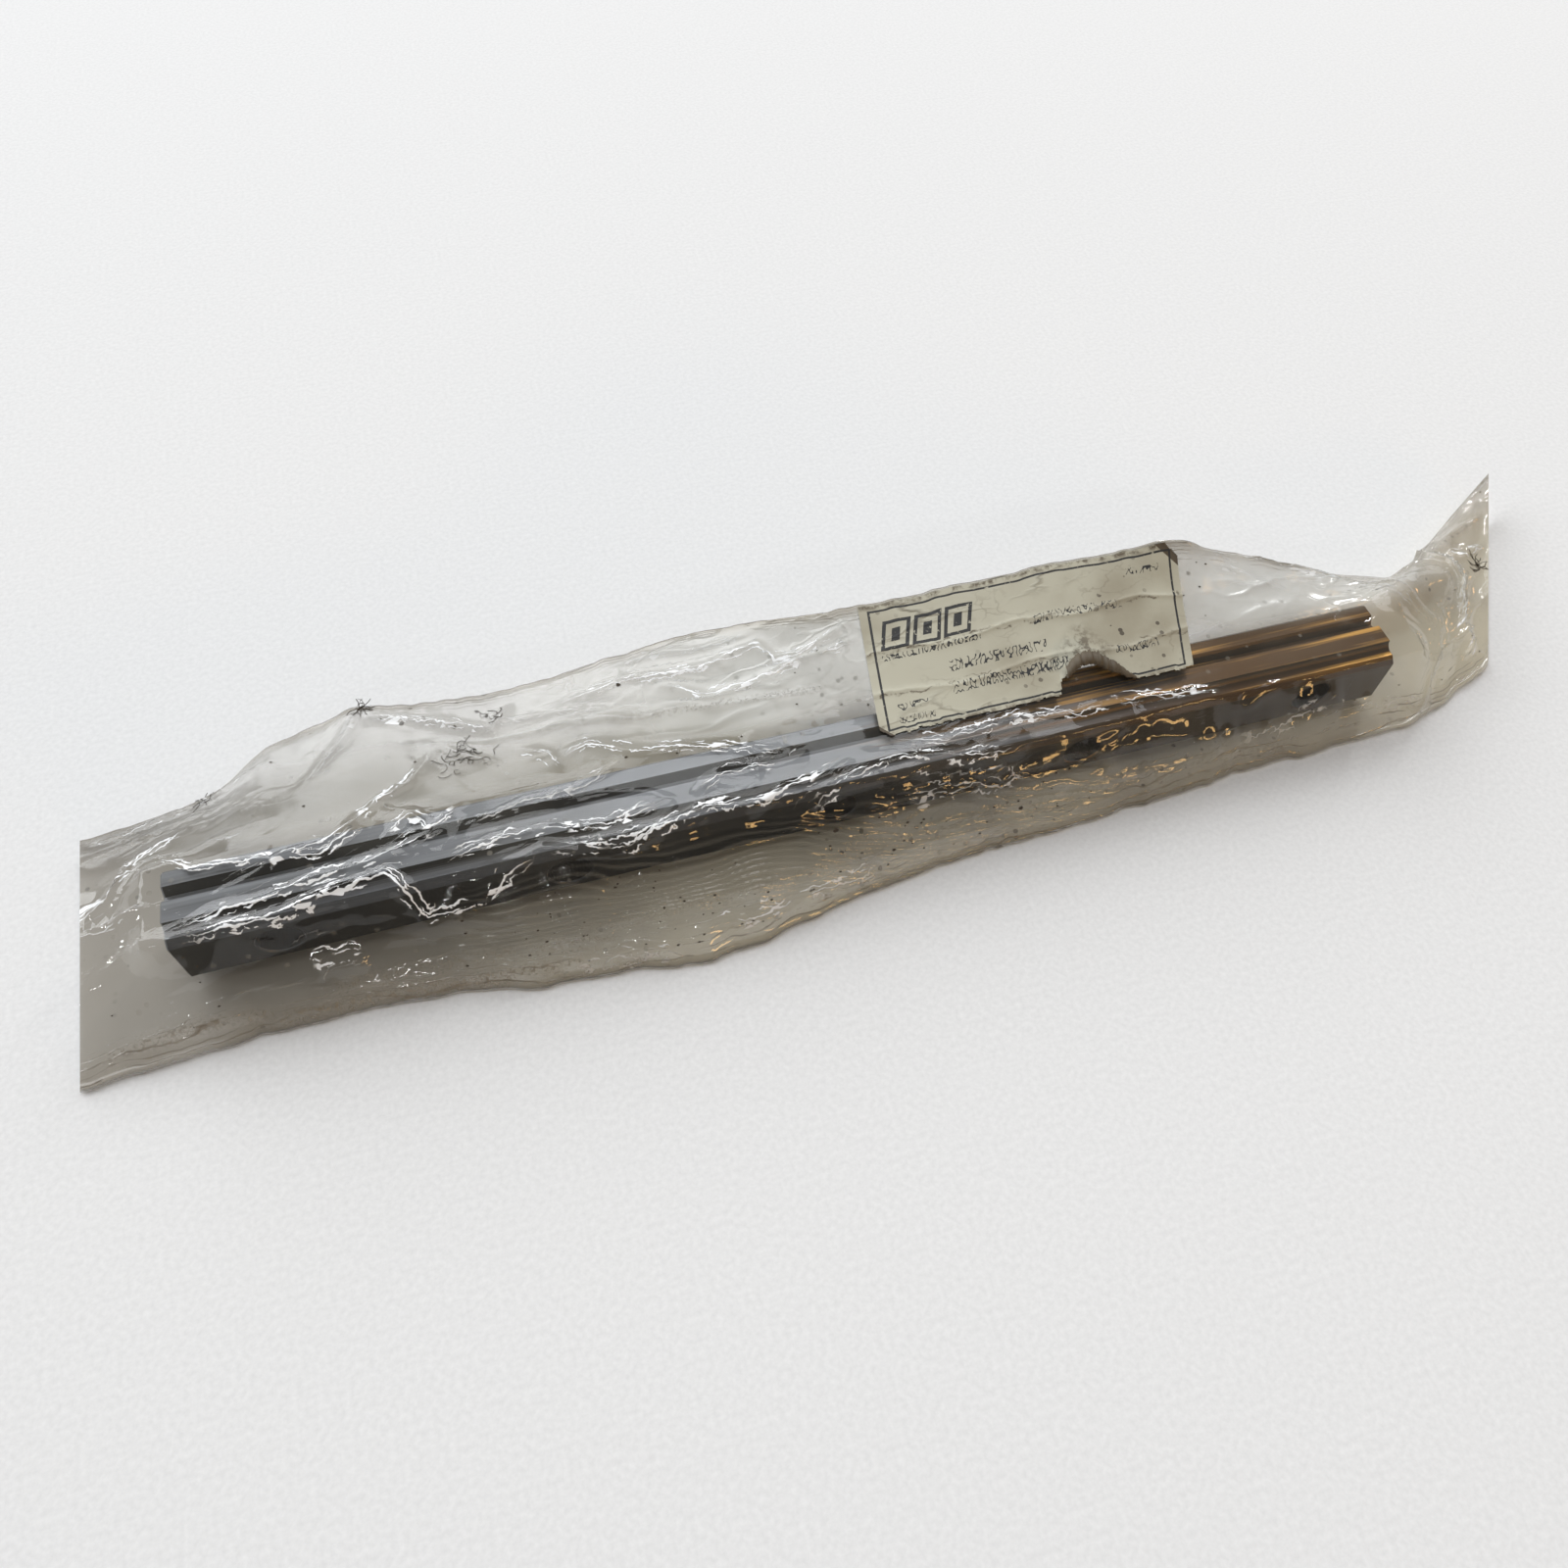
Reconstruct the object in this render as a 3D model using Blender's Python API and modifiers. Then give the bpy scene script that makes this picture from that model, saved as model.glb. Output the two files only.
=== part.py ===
"""A profiled steel guide rail for a linear ball guide, lying on its side in its clear tube bag.

Frame: metres. +X runs along the rail, +Z is up, and -Y is the side that the screw heads go in from.
The origin is on the underside of the bag, halfway along the rail, below the middle of its height.
"""

import math

import bmesh
import bpy
from mathutils import Matrix, Vector

MM = 0.001

# Guide rail: its own width and height are those of the upright rail. Here it lies on one flank.
RAIL_LENGTH = 280 * MM
RAIL_WIDTH = 20 * MM
RAIL_HEIGHT = 16.5 * MM
BASE_CHAMFER = 0.8 * MM
BASE_FLANK_TOP = 3.95 * MM
LOWER_RACE_CENTRE = 5.3 * MM
UPPER_RACE_DROP = 2.25 * MM
RACE_RADIUS = 2.05 * MM
UPPER_RACE_INSET = 0.14 * MM
HEAD_INSET = 3.7 * MM
END_CHAMFER = 0.4 * MM
ARC_STEPS = 9

# Screw holes along the rail's middle, counterbored from the head side.
HOLE_PITCH = 60 * MM
HOLE_END_MIN = 20 * MM
HOLE_DIAMETER = 6.0 * MM
COUNTERBORE_DIAMETER = 9.5 * MM
COUNTERBORE_DEPTH = 8.5 * MM
HOLE_CHAMFER = 0.3 * MM
HOLE_SEGMENTS = 36

# Bag: a welded-up film tube, thicker here than the real 0.1 mm film.
FILM = 0.4 * MM
GAP = 0.3 * MM
EDGE_HEIGHT = 1.2 * MM
SHOULDER = 0.6 * MM
RAIL_FLOAT_LEFT = 3 * MM
RAIL_FLOAT_RIGHT = 6 * MM
MOUTH_REACH = 23.5 * MM
MOUTH_HEIGHT = 9 * MM
SLOPE_SAG = 1.0 * MM

# Paper label on the bag's far slope.
LABEL_LENGTH = 78 * MM
LABEL_CENTRE_X = 53 * MM
LABEL_NEAR_Y = 0.5 * MM
LABEL_FAR_MARGIN = 1.5 * MM
LABEL_THICKNESS = 0.4 * MM
LABEL_GAP = 0.5 * MM

HALF_LENGTH = RAIL_LENGTH / 2
HALF_HEIGHT = RAIL_HEIGHT / 2
RAIL_Z = FILM + GAP + RAIL_WIDTH / 2
CROWN = RAIL_Z + RAIL_WIDTH / 2 + GAP + FILM


def new_material(name, colour, roughness, metallic=0.0, alpha=1.0):
    material = bpy.data.materials.new(name)
    material.use_nodes = True
    shader = material.node_tree.nodes["Principled BSDF"]
    shader.inputs["Base Color"].default_value = (*colour, 1.0)
    shader.inputs["Roughness"].default_value = roughness
    shader.inputs["Metallic"].default_value = metallic
    shader.inputs["Alpha"].default_value = alpha
    return material


def new_object(name, mesh, collection, material=None):
    piece = bpy.data.objects.new(name, mesh)
    collection.objects.link(piece)
    if material:
        mesh.materials.append(material)
    return piece


def arc(centre_y, centre_z, radius, start, end):
    """Points along an arc of the rail's section, from one angle to the other, in degrees."""
    angles = [start + (end - start) * k / ARC_STEPS for k in range(ARC_STEPS + 1)]
    return [
        (centre_y + radius * math.cos(math.radians(a)), centre_z + radius * math.sin(math.radians(a)))
        for a in angles
    ]


def rail_outline():
    """The upright rail's section as (across, up) points, anticlockwise from the base's right corner."""
    half = RAIL_WIDTH / 2
    upper_y = half - UPPER_RACE_INSET
    upper_z = RAIL_HEIGHT - UPPER_RACE_DROP
    facet_top = Vector((half - HEAD_INSET, RAIL_HEIGHT))
    # The upper raceway ends where the 45 degree facet below the head meets its circle.
    reach = facet_top - Vector((upper_y, upper_z))
    along = Vector((1, -1)).normalized()
    middle = -reach.dot(along)
    facet_length = middle - math.sqrt(middle**2 - reach.length_squared + RACE_RADIUS**2)
    meet = reach + along * facet_length
    start = -math.degrees(math.acos(UPPER_RACE_INSET / RACE_RADIUS))
    end = math.degrees(math.atan2(meet.y, meet.x)) - 360
    right = [(half - BASE_CHAMFER, 0), (half, BASE_CHAMFER), (half, BASE_FLANK_TOP)]
    right += arc(half, LOWER_RACE_CENTRE, RACE_RADIUS, 180, 90)
    right += arc(upper_y, upper_z, RACE_RADIUS, start, end)
    right.append(tuple(facet_top))
    return right + [(-y, z) for y, z in reversed(right)]


def prism(name, outline, length, chamfer, collection, material):
    """An outline in local X and Y, filled and extruded along local Z, with chamfered end edges."""
    mesh = bpy.data.meshes.new(name)
    shape = bmesh.new()
    corners = [shape.verts.new((x, y, -length / 2)) for x, y in outline]
    bottom = shape.faces.new(list(reversed(corners)))
    top = bmesh.ops.extrude_face_region(shape, geom=[bottom])["geom"]
    moved = [v for v in top if isinstance(v, bmesh.types.BMVert)]
    bmesh.ops.translate(shape, verts=moved, vec=(0, 0, length))
    bmesh.ops.recalc_face_normals(shape, faces=shape.faces)
    ends = [e for e in shape.edges if abs(e.verts[0].co.z - e.verts[1].co.z) < chamfer]
    bmesh.ops.bevel(shape, geom=ends, offset=chamfer, segments=1, affect="EDGES")
    shape.to_mesh(mesh)
    shape.free()
    return new_object(name, mesh, collection, material)


def hole_cutter(name, collection):
    """A stepped screw hole's turned shape, along local Z, with its mouth at z = 0."""
    bore = HOLE_DIAMETER / 2
    sink = COUNTERBORE_DIAMETER / 2
    clear = 2 * MM
    profile = [
        (0, clear),
        (sink + HOLE_CHAMFER, clear),
        (sink + HOLE_CHAMFER, 0),
        (sink, -HOLE_CHAMFER),
        (sink, -COUNTERBORE_DEPTH),
        (bore, -COUNTERBORE_DEPTH),
        (bore, -RAIL_HEIGHT - clear),
        (0, -RAIL_HEIGHT - clear),
    ]
    mesh = bpy.data.meshes.new(name)
    edges = [(k, k + 1) for k in range(len(profile) - 1)]
    mesh.from_pydata([(r, 0, z) for r, z in profile], edges, [])
    cutter = new_object(name, mesh, collection)
    screw = cutter.modifiers.new("turn", "SCREW")
    screw.steps = screw.render_steps = HOLE_SEGMENTS
    screw.use_merge_vertices = True
    screw.merge_threshold = 0.00001
    cutter.hide_render = True
    cutter.display_type = "WIRE"
    return cutter


def make_rail(collection, cutters):
    material = new_material("ground_rail_steel", (0.42, 0.43, 0.44), 0.32, 1.0)
    rail = prism("guide_rail", rail_outline(), RAIL_LENGTH, END_CHAMFER, collection, material)
    # The section's width stands up, its base faces +Y and its head faces -Y.
    turned = Matrix(((0, 0, 1, 0), (0, -1, 0, HALF_HEIGHT), (1, 0, 0, RAIL_Z), (0, 0, 0, 1)))
    rail.matrix_world = turned
    count = int((RAIL_LENGTH - 2 * HOLE_END_MIN) / HOLE_PITCH + 0.001) + 1
    first = -(count - 1) * HOLE_PITCH / 2
    for k in range(count):
        cutter = hole_cutter(f"screw_hole_{k + 1}", cutters)
        cutter.location = (first + k * HOLE_PITCH, -HALF_HEIGHT, RAIL_Z)
        cutter.rotation_euler = (math.radians(90), 0, 0)
        cut = rail.modifiers.new(cutter.name, "BOOLEAN")
        cut.object = cutter
        cut.operation = "DIFFERENCE"
    return rail


class Station:
    """One cross-section of the bag: a straight line in plan, from its near edge to its far edge.

    near and far are the widths of film beyond the rail's two faces, lift is how high the far edge
    floats, and swing is how far that edge runs ahead of the near one along X.
    """

    def __init__(self, x, near, far, lift, crown=CROWN, swing=0.0):
        self.x = x
        self.near = -HALF_HEIGHT - near * MM
        self.far = HALF_HEIGHT + far * MM
        self.lift = lift * MM
        self.crown = crown
        self.swing = swing * MM

    def place(self, y, z):
        share = (y - self.near) / (self.far - self.near)
        return Vector((self.x + self.swing * share, y, z))

    def columns(self):
        """Each column's (y, height of the top film, height of the bottom film)."""
        shoulder = HALF_HEIGHT + SHOULDER
        edge = self.lift + EDGE_HEIGHT
        near_mid = (self.near - shoulder) / 2
        columns = [
            (self.near, EDGE_HEIGHT, 0.0),
            (near_mid, (EDGE_HEIGHT + self.crown) / 2 - SLOPE_SAG, 0.0),
            (-shoulder, self.crown, 0.0),
            (0.0, self.crown, 0.0),
            (shoulder, self.crown, 0.0),
        ]
        for share in (1 / 3, 2 / 3):
            y = shoulder + (self.far - shoulder) * share
            columns.append((y, self.crown + (edge - self.crown) * share - SLOPE_SAG, 0.0))
        columns.append((self.far, edge, self.lift))
        return columns

    def ring(self, inset):
        """The section's closed loop, drawn in by inset: up over the top film, back along the bottom."""
        columns = self.columns()
        last = len(columns) - 1
        sides = [inset if k == 0 else -inset if k == last else 0.0 for k in range(last + 1)]
        top = [self.place(y + s, t - inset) for s, (y, t, _) in zip(sides, columns)]
        bottom = [self.place(y + s, b + inset) for s, (y, _, b) in zip(sides, columns)]
        return top + bottom[::-1]

    def top_at(self, y):
        """The top film's height at y on this section."""
        columns = self.columns()
        for (y0, t0, _), (y1, t1, _) in zip(columns, columns[1:]):
            if y <= y1:
                return t0 + (t1 - t0) * (y - y0) / (y1 - y0)
        return columns[-1][1]


def bag_stations():
    """The bag's sections from its open mouth on the left to its folded-up tail on the right."""
    left = -HALF_LENGTH
    right = HALF_LENGTH
    return [
        Station(left - MOUTH_REACH, 17, 23, 4, crown=MOUTH_HEIGHT),
        Station(left - RAIL_FLOAT_LEFT - FILM - GAP, 16, 24, 4),
        Station(0.91 * left, 15, 26.5, 8),
        Station(0.87 * left, 15, 34, 9),
        Station(0.72 * left, 15, 37, 13),
        Station(0.52 * left, 19.5, 32.5, 14),
        Station(0.38 * left, 22, 32.5, 15),
        Station(0.14 * left, 22, 36, 17),
        Station(0.05 * right, 16, 34, 20),
        Station(0.18 * right, 14.5, 31.5, 22),
        Station(0.50 * right, 12, 28, 25),
        Station(0.72 * right, 11, 26, 27),
        Station(0.93 * right, 9.5, 22, 15),
        Station(right + RAIL_FLOAT_RIGHT + FILM + GAP, 8.5, 16.5, 12),
        Station(right + 20 * MM, 4, 15, 7, crown=15 * MM, swing=8),
        Station(right + 30 * MM, 1.5, 30, 6, crown=11 * MM, swing=20),
        Station(right + 38 * MM, 0.0, 40, 5, crown=8 * MM, swing=33),
    ]


def skin(shape, rings):
    """Joins each ring of points to the next one with four-sided faces, and returns the rings' vertices."""
    loops = [[shape.verts.new(p) for p in ring] for ring in rings]
    for one, other in zip(loops, loops[1:]):
        for k in range(len(one)):
            after = (k + 1) % len(one)
            shape.faces.new((one[k], one[after], other[after], other[k]))
    return loops


def close_end(shape, loop, flip):
    """Closes a section with a strip of faces between its top and its bottom row."""
    half = len(loop) // 2
    for k in range(half - 1):
        corners = (loop[k], loop[k + 1], loop[-2 - k], loop[-1 - k])
        shape.faces.new(corners[::-1] if flip else corners)


def make_bag(collection):
    """A film tube with an open mouth on the left and a closed tail on the right."""
    stations = bag_stations()
    mesh = bpy.data.meshes.new("poly_bag")
    shape = bmesh.new()
    outer = skin(shape, [s.ring(0.0) for s in stations])
    inner_rings = [s.ring(FILM) for s in stations]
    tail = stations[-1]
    inner_rings[-1] = [p - Vector((FILM, 0, 0)) for p in tail.ring(FILM)]
    inner = skin(shape, inner_rings)
    close_end(shape, outer[-1], True)
    close_end(shape, inner[-1], False)
    for k in range(len(outer[0])):
        after = (k + 1) % len(outer[0])
        shape.faces.new((outer[0][k], inner[0][k], inner[0][after], outer[0][after]))
    bmesh.ops.recalc_face_normals(shape, faces=shape.faces)
    shape.to_mesh(mesh)
    shape.free()
    return new_object("poly_bag", mesh, collection, new_material("clear_film", (0.8, 0.8, 0.77), 0.15, alpha=0.3))


def film_height(stations, x, y):
    """The top film's height above the floor at a place on the bag, between the sections round it."""
    before = [s for s in stations if s.x <= x][-1]
    after = [s for s in stations if s.x > x][0]
    share = (x - before.x) / (after.x - before.x)
    return before.top_at(y) * (1 - share) + after.top_at(y) * share


def make_label(collection):
    """A thin sheet that follows the bag's far slope."""
    stations = bag_stations()
    low = LABEL_CENTRE_X - LABEL_LENGTH / 2
    high = LABEL_CENTRE_X + LABEL_LENGTH / 2
    inside = [s.x for s in stations if low < s.x < high]
    far = min(s.far for s in stations if low < s.x < high) - LABEL_FAR_MARGIN
    rows = [low, *inside, high]
    shoulder = HALF_HEIGHT + SHOULDER
    across = [LABEL_NEAR_Y] + [shoulder + (far - shoulder) * k / 3 for k in range(4)]
    rings = []
    for x in rows:
        under = [Vector((x, y, film_height(stations, x, y) + LABEL_GAP)) for y in across]
        over = [p + Vector((0, 0, LABEL_THICKNESS)) for p in under]
        rings.append(over + under[::-1])
    mesh = bpy.data.meshes.new("paper_label")
    shape = bmesh.new()
    loops = skin(shape, rings)
    close_end(shape, loops[0], False)
    close_end(shape, loops[-1], True)
    bmesh.ops.recalc_face_normals(shape, faces=shape.faces)
    shape.to_mesh(mesh)
    shape.free()
    return new_object("paper_label", mesh, collection, new_material("label_paper", (0.78, 0.76, 0.68), 0.7))


def main():
    for old in list(bpy.data.objects):
        bpy.data.objects.remove(old)
    package = bpy.data.collections.new("bagged_guide_rail")
    cutters = bpy.data.collections.new("cutters")
    for collection in (package, cutters):
        bpy.context.scene.collection.children.link(collection)
    make_rail(package, cutters)
    make_bag(package)
    make_label(package)


main()
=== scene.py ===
"""Looks of a steel guide rail in its crumpled clear bag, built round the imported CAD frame.

Lengths in the film model are millimetres until a mesh is made. The frame is the CAD's: +X along the
rail, +Z up, and -Y towards the side that the camera stands on.
"""

import logging
import math
from dataclasses import dataclass, field
from enum import Enum

import bmesh
import bpy
import numpy as np
from mathutils import Matrix, Vector

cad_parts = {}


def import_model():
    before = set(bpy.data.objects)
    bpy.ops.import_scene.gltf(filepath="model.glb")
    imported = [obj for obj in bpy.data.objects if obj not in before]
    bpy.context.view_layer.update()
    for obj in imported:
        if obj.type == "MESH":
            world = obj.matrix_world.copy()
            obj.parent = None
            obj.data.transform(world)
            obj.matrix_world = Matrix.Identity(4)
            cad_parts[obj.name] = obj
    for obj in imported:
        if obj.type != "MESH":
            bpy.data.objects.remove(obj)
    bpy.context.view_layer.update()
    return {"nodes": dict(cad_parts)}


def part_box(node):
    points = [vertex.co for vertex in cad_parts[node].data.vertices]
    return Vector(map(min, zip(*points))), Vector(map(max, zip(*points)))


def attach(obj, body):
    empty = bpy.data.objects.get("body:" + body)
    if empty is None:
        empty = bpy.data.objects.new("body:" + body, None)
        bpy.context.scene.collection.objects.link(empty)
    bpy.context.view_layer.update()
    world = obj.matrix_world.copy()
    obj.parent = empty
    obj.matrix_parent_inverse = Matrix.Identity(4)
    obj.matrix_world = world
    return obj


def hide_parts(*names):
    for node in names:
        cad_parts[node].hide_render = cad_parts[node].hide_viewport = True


Socket = bpy.types.NodeSocket
Array = np.ndarray
Pair = tuple[float, float]
Triple = tuple[float, float, float]

LOG = logging.getLogger("bagged_guide_rail")
MM = 0.001
SEED = 20
EDGE_HEIGHT = 0.5  # millimetres: where the bag's folded near edge lies above the table
FAR_AWAY = 6.0  # millimetres: what a mask says where no fold or edge is near
CREASE_RELIEF = 0.0004  # metres: how deep the finest creases look
FLOOR_DROP = -0.0002  # metres: the floor lies just under the film


class Surface(Enum):
    """Which layer of the bag a face belongs to. The value is its material slot."""

    UPPER = 0
    LOWER = 1


# ---------------------------------------------------------------- numeric helpers


def smoothstep(low: float, high: float, values: Array) -> Array:
    """A soft step from 0 to 1.

    Args:
        low: where the step starts. high: where it ends. values: the numbers to map.

    Returns:
        An array shaped like values.
    """
    share = np.clip((values - low) / (high - low), 0.0, 1.0)
    return share * share * (3.0 - 2.0 * share)


def lattice_noise(u: Array, w: Array, cell_u: float, cell_w: float, seed: int) -> Array:
    """Smooth noise between -1 and 1 on a lattice of random values.

    Args:
        u, w: coordinates in millimetres. cell_u, cell_w: the lattice's pitch. seed: its random seed.

    Returns:
        An array shaped like u.
    """
    a = (u - u.min()) / cell_u
    b = (w - w.min()) / cell_w
    rng = np.random.default_rng(seed)
    grid = rng.uniform(-1.0, 1.0, (int(a.max()) + 3, int(b.max()) + 3))
    i, j = a.astype(int), b.astype(int)
    fa, fb = a - i, b - j
    fa = fa**3 * (fa * (6 * fa - 15) + 10)
    fb = fb**3 * (fb * (6 * fb - 15) + 10)
    low = grid[i, j] * (1 - fa) + grid[i + 1, j] * fa
    high = grid[i, j + 1] * (1 - fa) + grid[i + 1, j + 1] * fa
    return low * (1 - fb) + high * fb


def sheet_normals(points: Array) -> Array:
    """Unit normals at the points of a grid that runs along and then across a sheet."""
    normal = np.cross(np.gradient(points, axis=0), np.gradient(points, axis=1))
    return normal / np.maximum(np.linalg.norm(normal, axis=-1, keepdims=True), 1e-9)


def distance_to_path(x: Array, y: Array, path: list[Pair]) -> tuple[Array, ...]:
    """How far each point lies from a polyline, how far along it the nearest place is, and on which side.

    Args:
        x, y: the points. path: the polyline's corners.

    Returns:
        The distances, the share from 0 at the path's start to 1 at its end, and 1 on its left or -1.
    """
    corners = np.asarray(path, float)
    lengths = np.hypot(*np.diff(corners, axis=0).T)
    total = max(lengths.sum(), 1e-6)
    best = np.full(x.shape, 1e9)
    along, side = np.zeros(x.shape), np.ones(x.shape)
    done = 0.0
    for (x0, y0), (x1, y1), length in zip(corners, corners[1:], lengths):
        share = ((x - x0) * (x1 - x0) + (y - y0) * (y1 - y0)) / max(length**2, 1e-9)
        share = np.clip(share, 0.0, 1.0)
        far = np.hypot(x - x0 - share * (x1 - x0), y - y0 - share * (y1 - y0))
        nearer = far < best
        left = (x1 - x0) * (y - y0) - (y1 - y0) * (x - x0) >= 0
        best = np.where(nearer, far, best)
        along = np.where(nearer, (done + share * length) / total, along)
        side = np.where(nearer, np.where(left, 1.0, -1.0), side)
        done += length
    return best, along, side


# ---------------------------------------------------------------- shader node groups


def new_group(name: str, inputs: dict[str, float], outputs: list[str]) -> bpy.types.NodeTree:
    """A shader node group with its number sockets and empty insides.

    Args:
        name: the group's name. inputs: the default of each input. outputs: their names.

    Returns:
        The group, with its input and output nodes named "in" and "out".
    """
    group = bpy.data.node_groups.new(name, "ShaderNodeTree")
    for label, default in inputs.items():
        socket = group.interface.new_socket(name=label, in_out="INPUT", socket_type="NodeSocketFloat")
        socket.default_value = default
    for label in outputs:
        group.interface.new_socket(name=label, in_out="OUTPUT", socket_type="NodeSocketFloat")
    group.nodes.new("NodeGroupInput").name = "in"
    group.nodes.new("NodeGroupOutput").name = "out"
    return group


@dataclass
class Wiring:
    """Short ways to add and link nodes in one tree."""

    tree: bpy.types.NodeTree

    def add(self, kind: str, **settings: object) -> bpy.types.Node:
        """Adds a node and sets its own properties.

        Args:
            kind: the node's type. settings: the properties to set.

        Returns:
            The node.
        """
        node = self.tree.nodes.new(kind)
        for key, value in settings.items():
            setattr(node, key, value)
        return node

    def link(self, source: Socket, target: Socket) -> None:
        """Links two sockets."""
        self.tree.links.new(source, target)

    def maths(self, operation: str, *values: object, clamp: bool = False) -> Socket:
        """A Math node whose inputs are numbers or sockets.

        Args:
            operation: what it works out. values: its inputs. clamp: whether the result stays within 0 and 1.

        Returns:
            Its output.
        """
        node = self.add("ShaderNodeMath", operation=operation, use_clamp=clamp)
        for socket, value in zip(node.inputs, values):
            self.feed(socket, value)
        return node.outputs[0]

    def times(self, *values: object, clamp: bool = False) -> Socket:
        """The product of two numbers or sockets."""
        return self.maths("MULTIPLY", *values, clamp=clamp)

    def plus(self, *values: object, clamp: bool = False) -> Socket:
        """The sum of two numbers or sockets."""
        return self.maths("ADD", *values, clamp=clamp)

    def minus(self, *values: object, clamp: bool = False) -> Socket:
        """The first of two numbers or sockets less the second."""
        return self.maths("SUBTRACT", *values, clamp=clamp)

    def over(self, *values: object) -> Socket:
        """The first of two numbers or sockets divided by the second."""
        return self.maths("DIVIDE", *values)

    def most(self, *values: object) -> Socket:
        """The larger of two numbers or sockets."""
        return self.maths("MAXIMUM", *values)

    def gap(self, *values: object) -> Socket:
        """How far apart two numbers or sockets are."""
        return self.maths("ABSOLUTE", self.minus(*values))

    def line(self, off: object, width: object) -> Socket:
        """1 where off is 0, falling evenly to 0 where it reaches width."""
        return self.minus(1.0, self.over(off, width), clamp=True)

    def feed(self, socket: Socket, value: object) -> None:
        """Sets a socket to a number or colour, or links another socket to it.

        Args:
            socket: the input to fill. value: what goes into it.
        """
        if isinstance(value, Socket):
            self.link(value, socket)
        else:
            socket.default_value = (*value, 1.0) if isinstance(value, tuple) else value

    def place(self, kind: str = "Object") -> bpy.types.Node:
        """A node whose outputs X, Y and Z are the surface's own coordinates of that kind.

        Args:
            kind: the name of the coordinates, Object or Normal.

        Returns:
            The node.
        """
        split = self.add("ShaderNodeSeparateXYZ")
        self.link(self.add("ShaderNodeTexCoord").outputs[kind], split.inputs[0])
        return split

    def bump(self, height: Socket, strength: float, distance: float) -> Socket:
        """A normal bent by a height.

        Args:
            height: the height to follow. strength: from 0 to 1. distance: the height's scale in metres.

        Returns:
            The normal.
        """
        node = self.add("ShaderNodeBump")
        node.inputs["Strength"].default_value = strength
        node.inputs["Distance"].default_value = distance
        self.link(height, node.inputs["Height"])
        return node.outputs[0]

    def stretched(self, scale: Triple = (1.0, 1.0, 1.0)) -> Socket:
        """Object coordinates multiplied by scale on each axis.

        Args:
            scale: the factor on each axis.

        Returns:
            The vector.
        """
        coordinates = self.add("ShaderNodeTexCoord")
        mapping = self.add("ShaderNodeMapping")
        mapping.inputs["Scale"].default_value = scale
        self.link(coordinates.outputs["Object"], mapping.inputs["Vector"])
        return mapping.outputs["Vector"]

    def noise(self, vector: Socket, scale: float, detail: float = 3.0, rough: float = 0.55) -> Socket:
        """A noise texture's value.

        Args:
            vector: where to look. scale, detail, rough: the texture's own settings.

        Returns:
            The value.
        """
        node = self.add("ShaderNodeTexNoise")
        self.link(vector, node.inputs["Vector"])
        node.inputs["Scale"].default_value = scale
        node.inputs["Detail"].default_value = detail
        node.inputs["Roughness"].default_value = rough
        return node.outputs["Fac"]

    def ramp(self, value: Socket, low: float, high: float) -> Socket:
        """Maps low..high to 0..1, clamped and smoothed.

        Args:
            value: the number to map. low, high: the ends of its range.

        Returns:
            The mapped value.
        """
        node = self.add("ShaderNodeMapRange", interpolation_type="SMOOTHSTEP")
        self.link(value, node.inputs["Value"])
        node.inputs["From Min"].default_value = low
        node.inputs["From Max"].default_value = high
        return node.outputs["Result"]

    def mix(self, factor: object, first: object, second: object) -> Socket:
        """A colour between first and second.

        Args:
            factor: 0 for the first and 1 for the second. first, second: the colours.

        Returns:
            The colour.
        """
        node = self.add("ShaderNodeMix", data_type="RGBA")
        self.feed(node.inputs["Factor"], factor)
        self.feed(node.inputs["A"], first)
        self.feed(node.inputs["B"], second)
        return node.outputs["Result"]

    def group(self, group: bpy.types.NodeTree, **values: float) -> bpy.types.Node:
        """Places a node group and sets its inputs, whose names have _ for a space.

        Args:
            group: the node group. values: what its inputs hold.

        Returns:
            The node.
        """
        node = self.add("ShaderNodeGroup", node_tree=group)
        for key, value in values.items():
            node.inputs[key.replace("_", " ")].default_value = value
        return node


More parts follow.
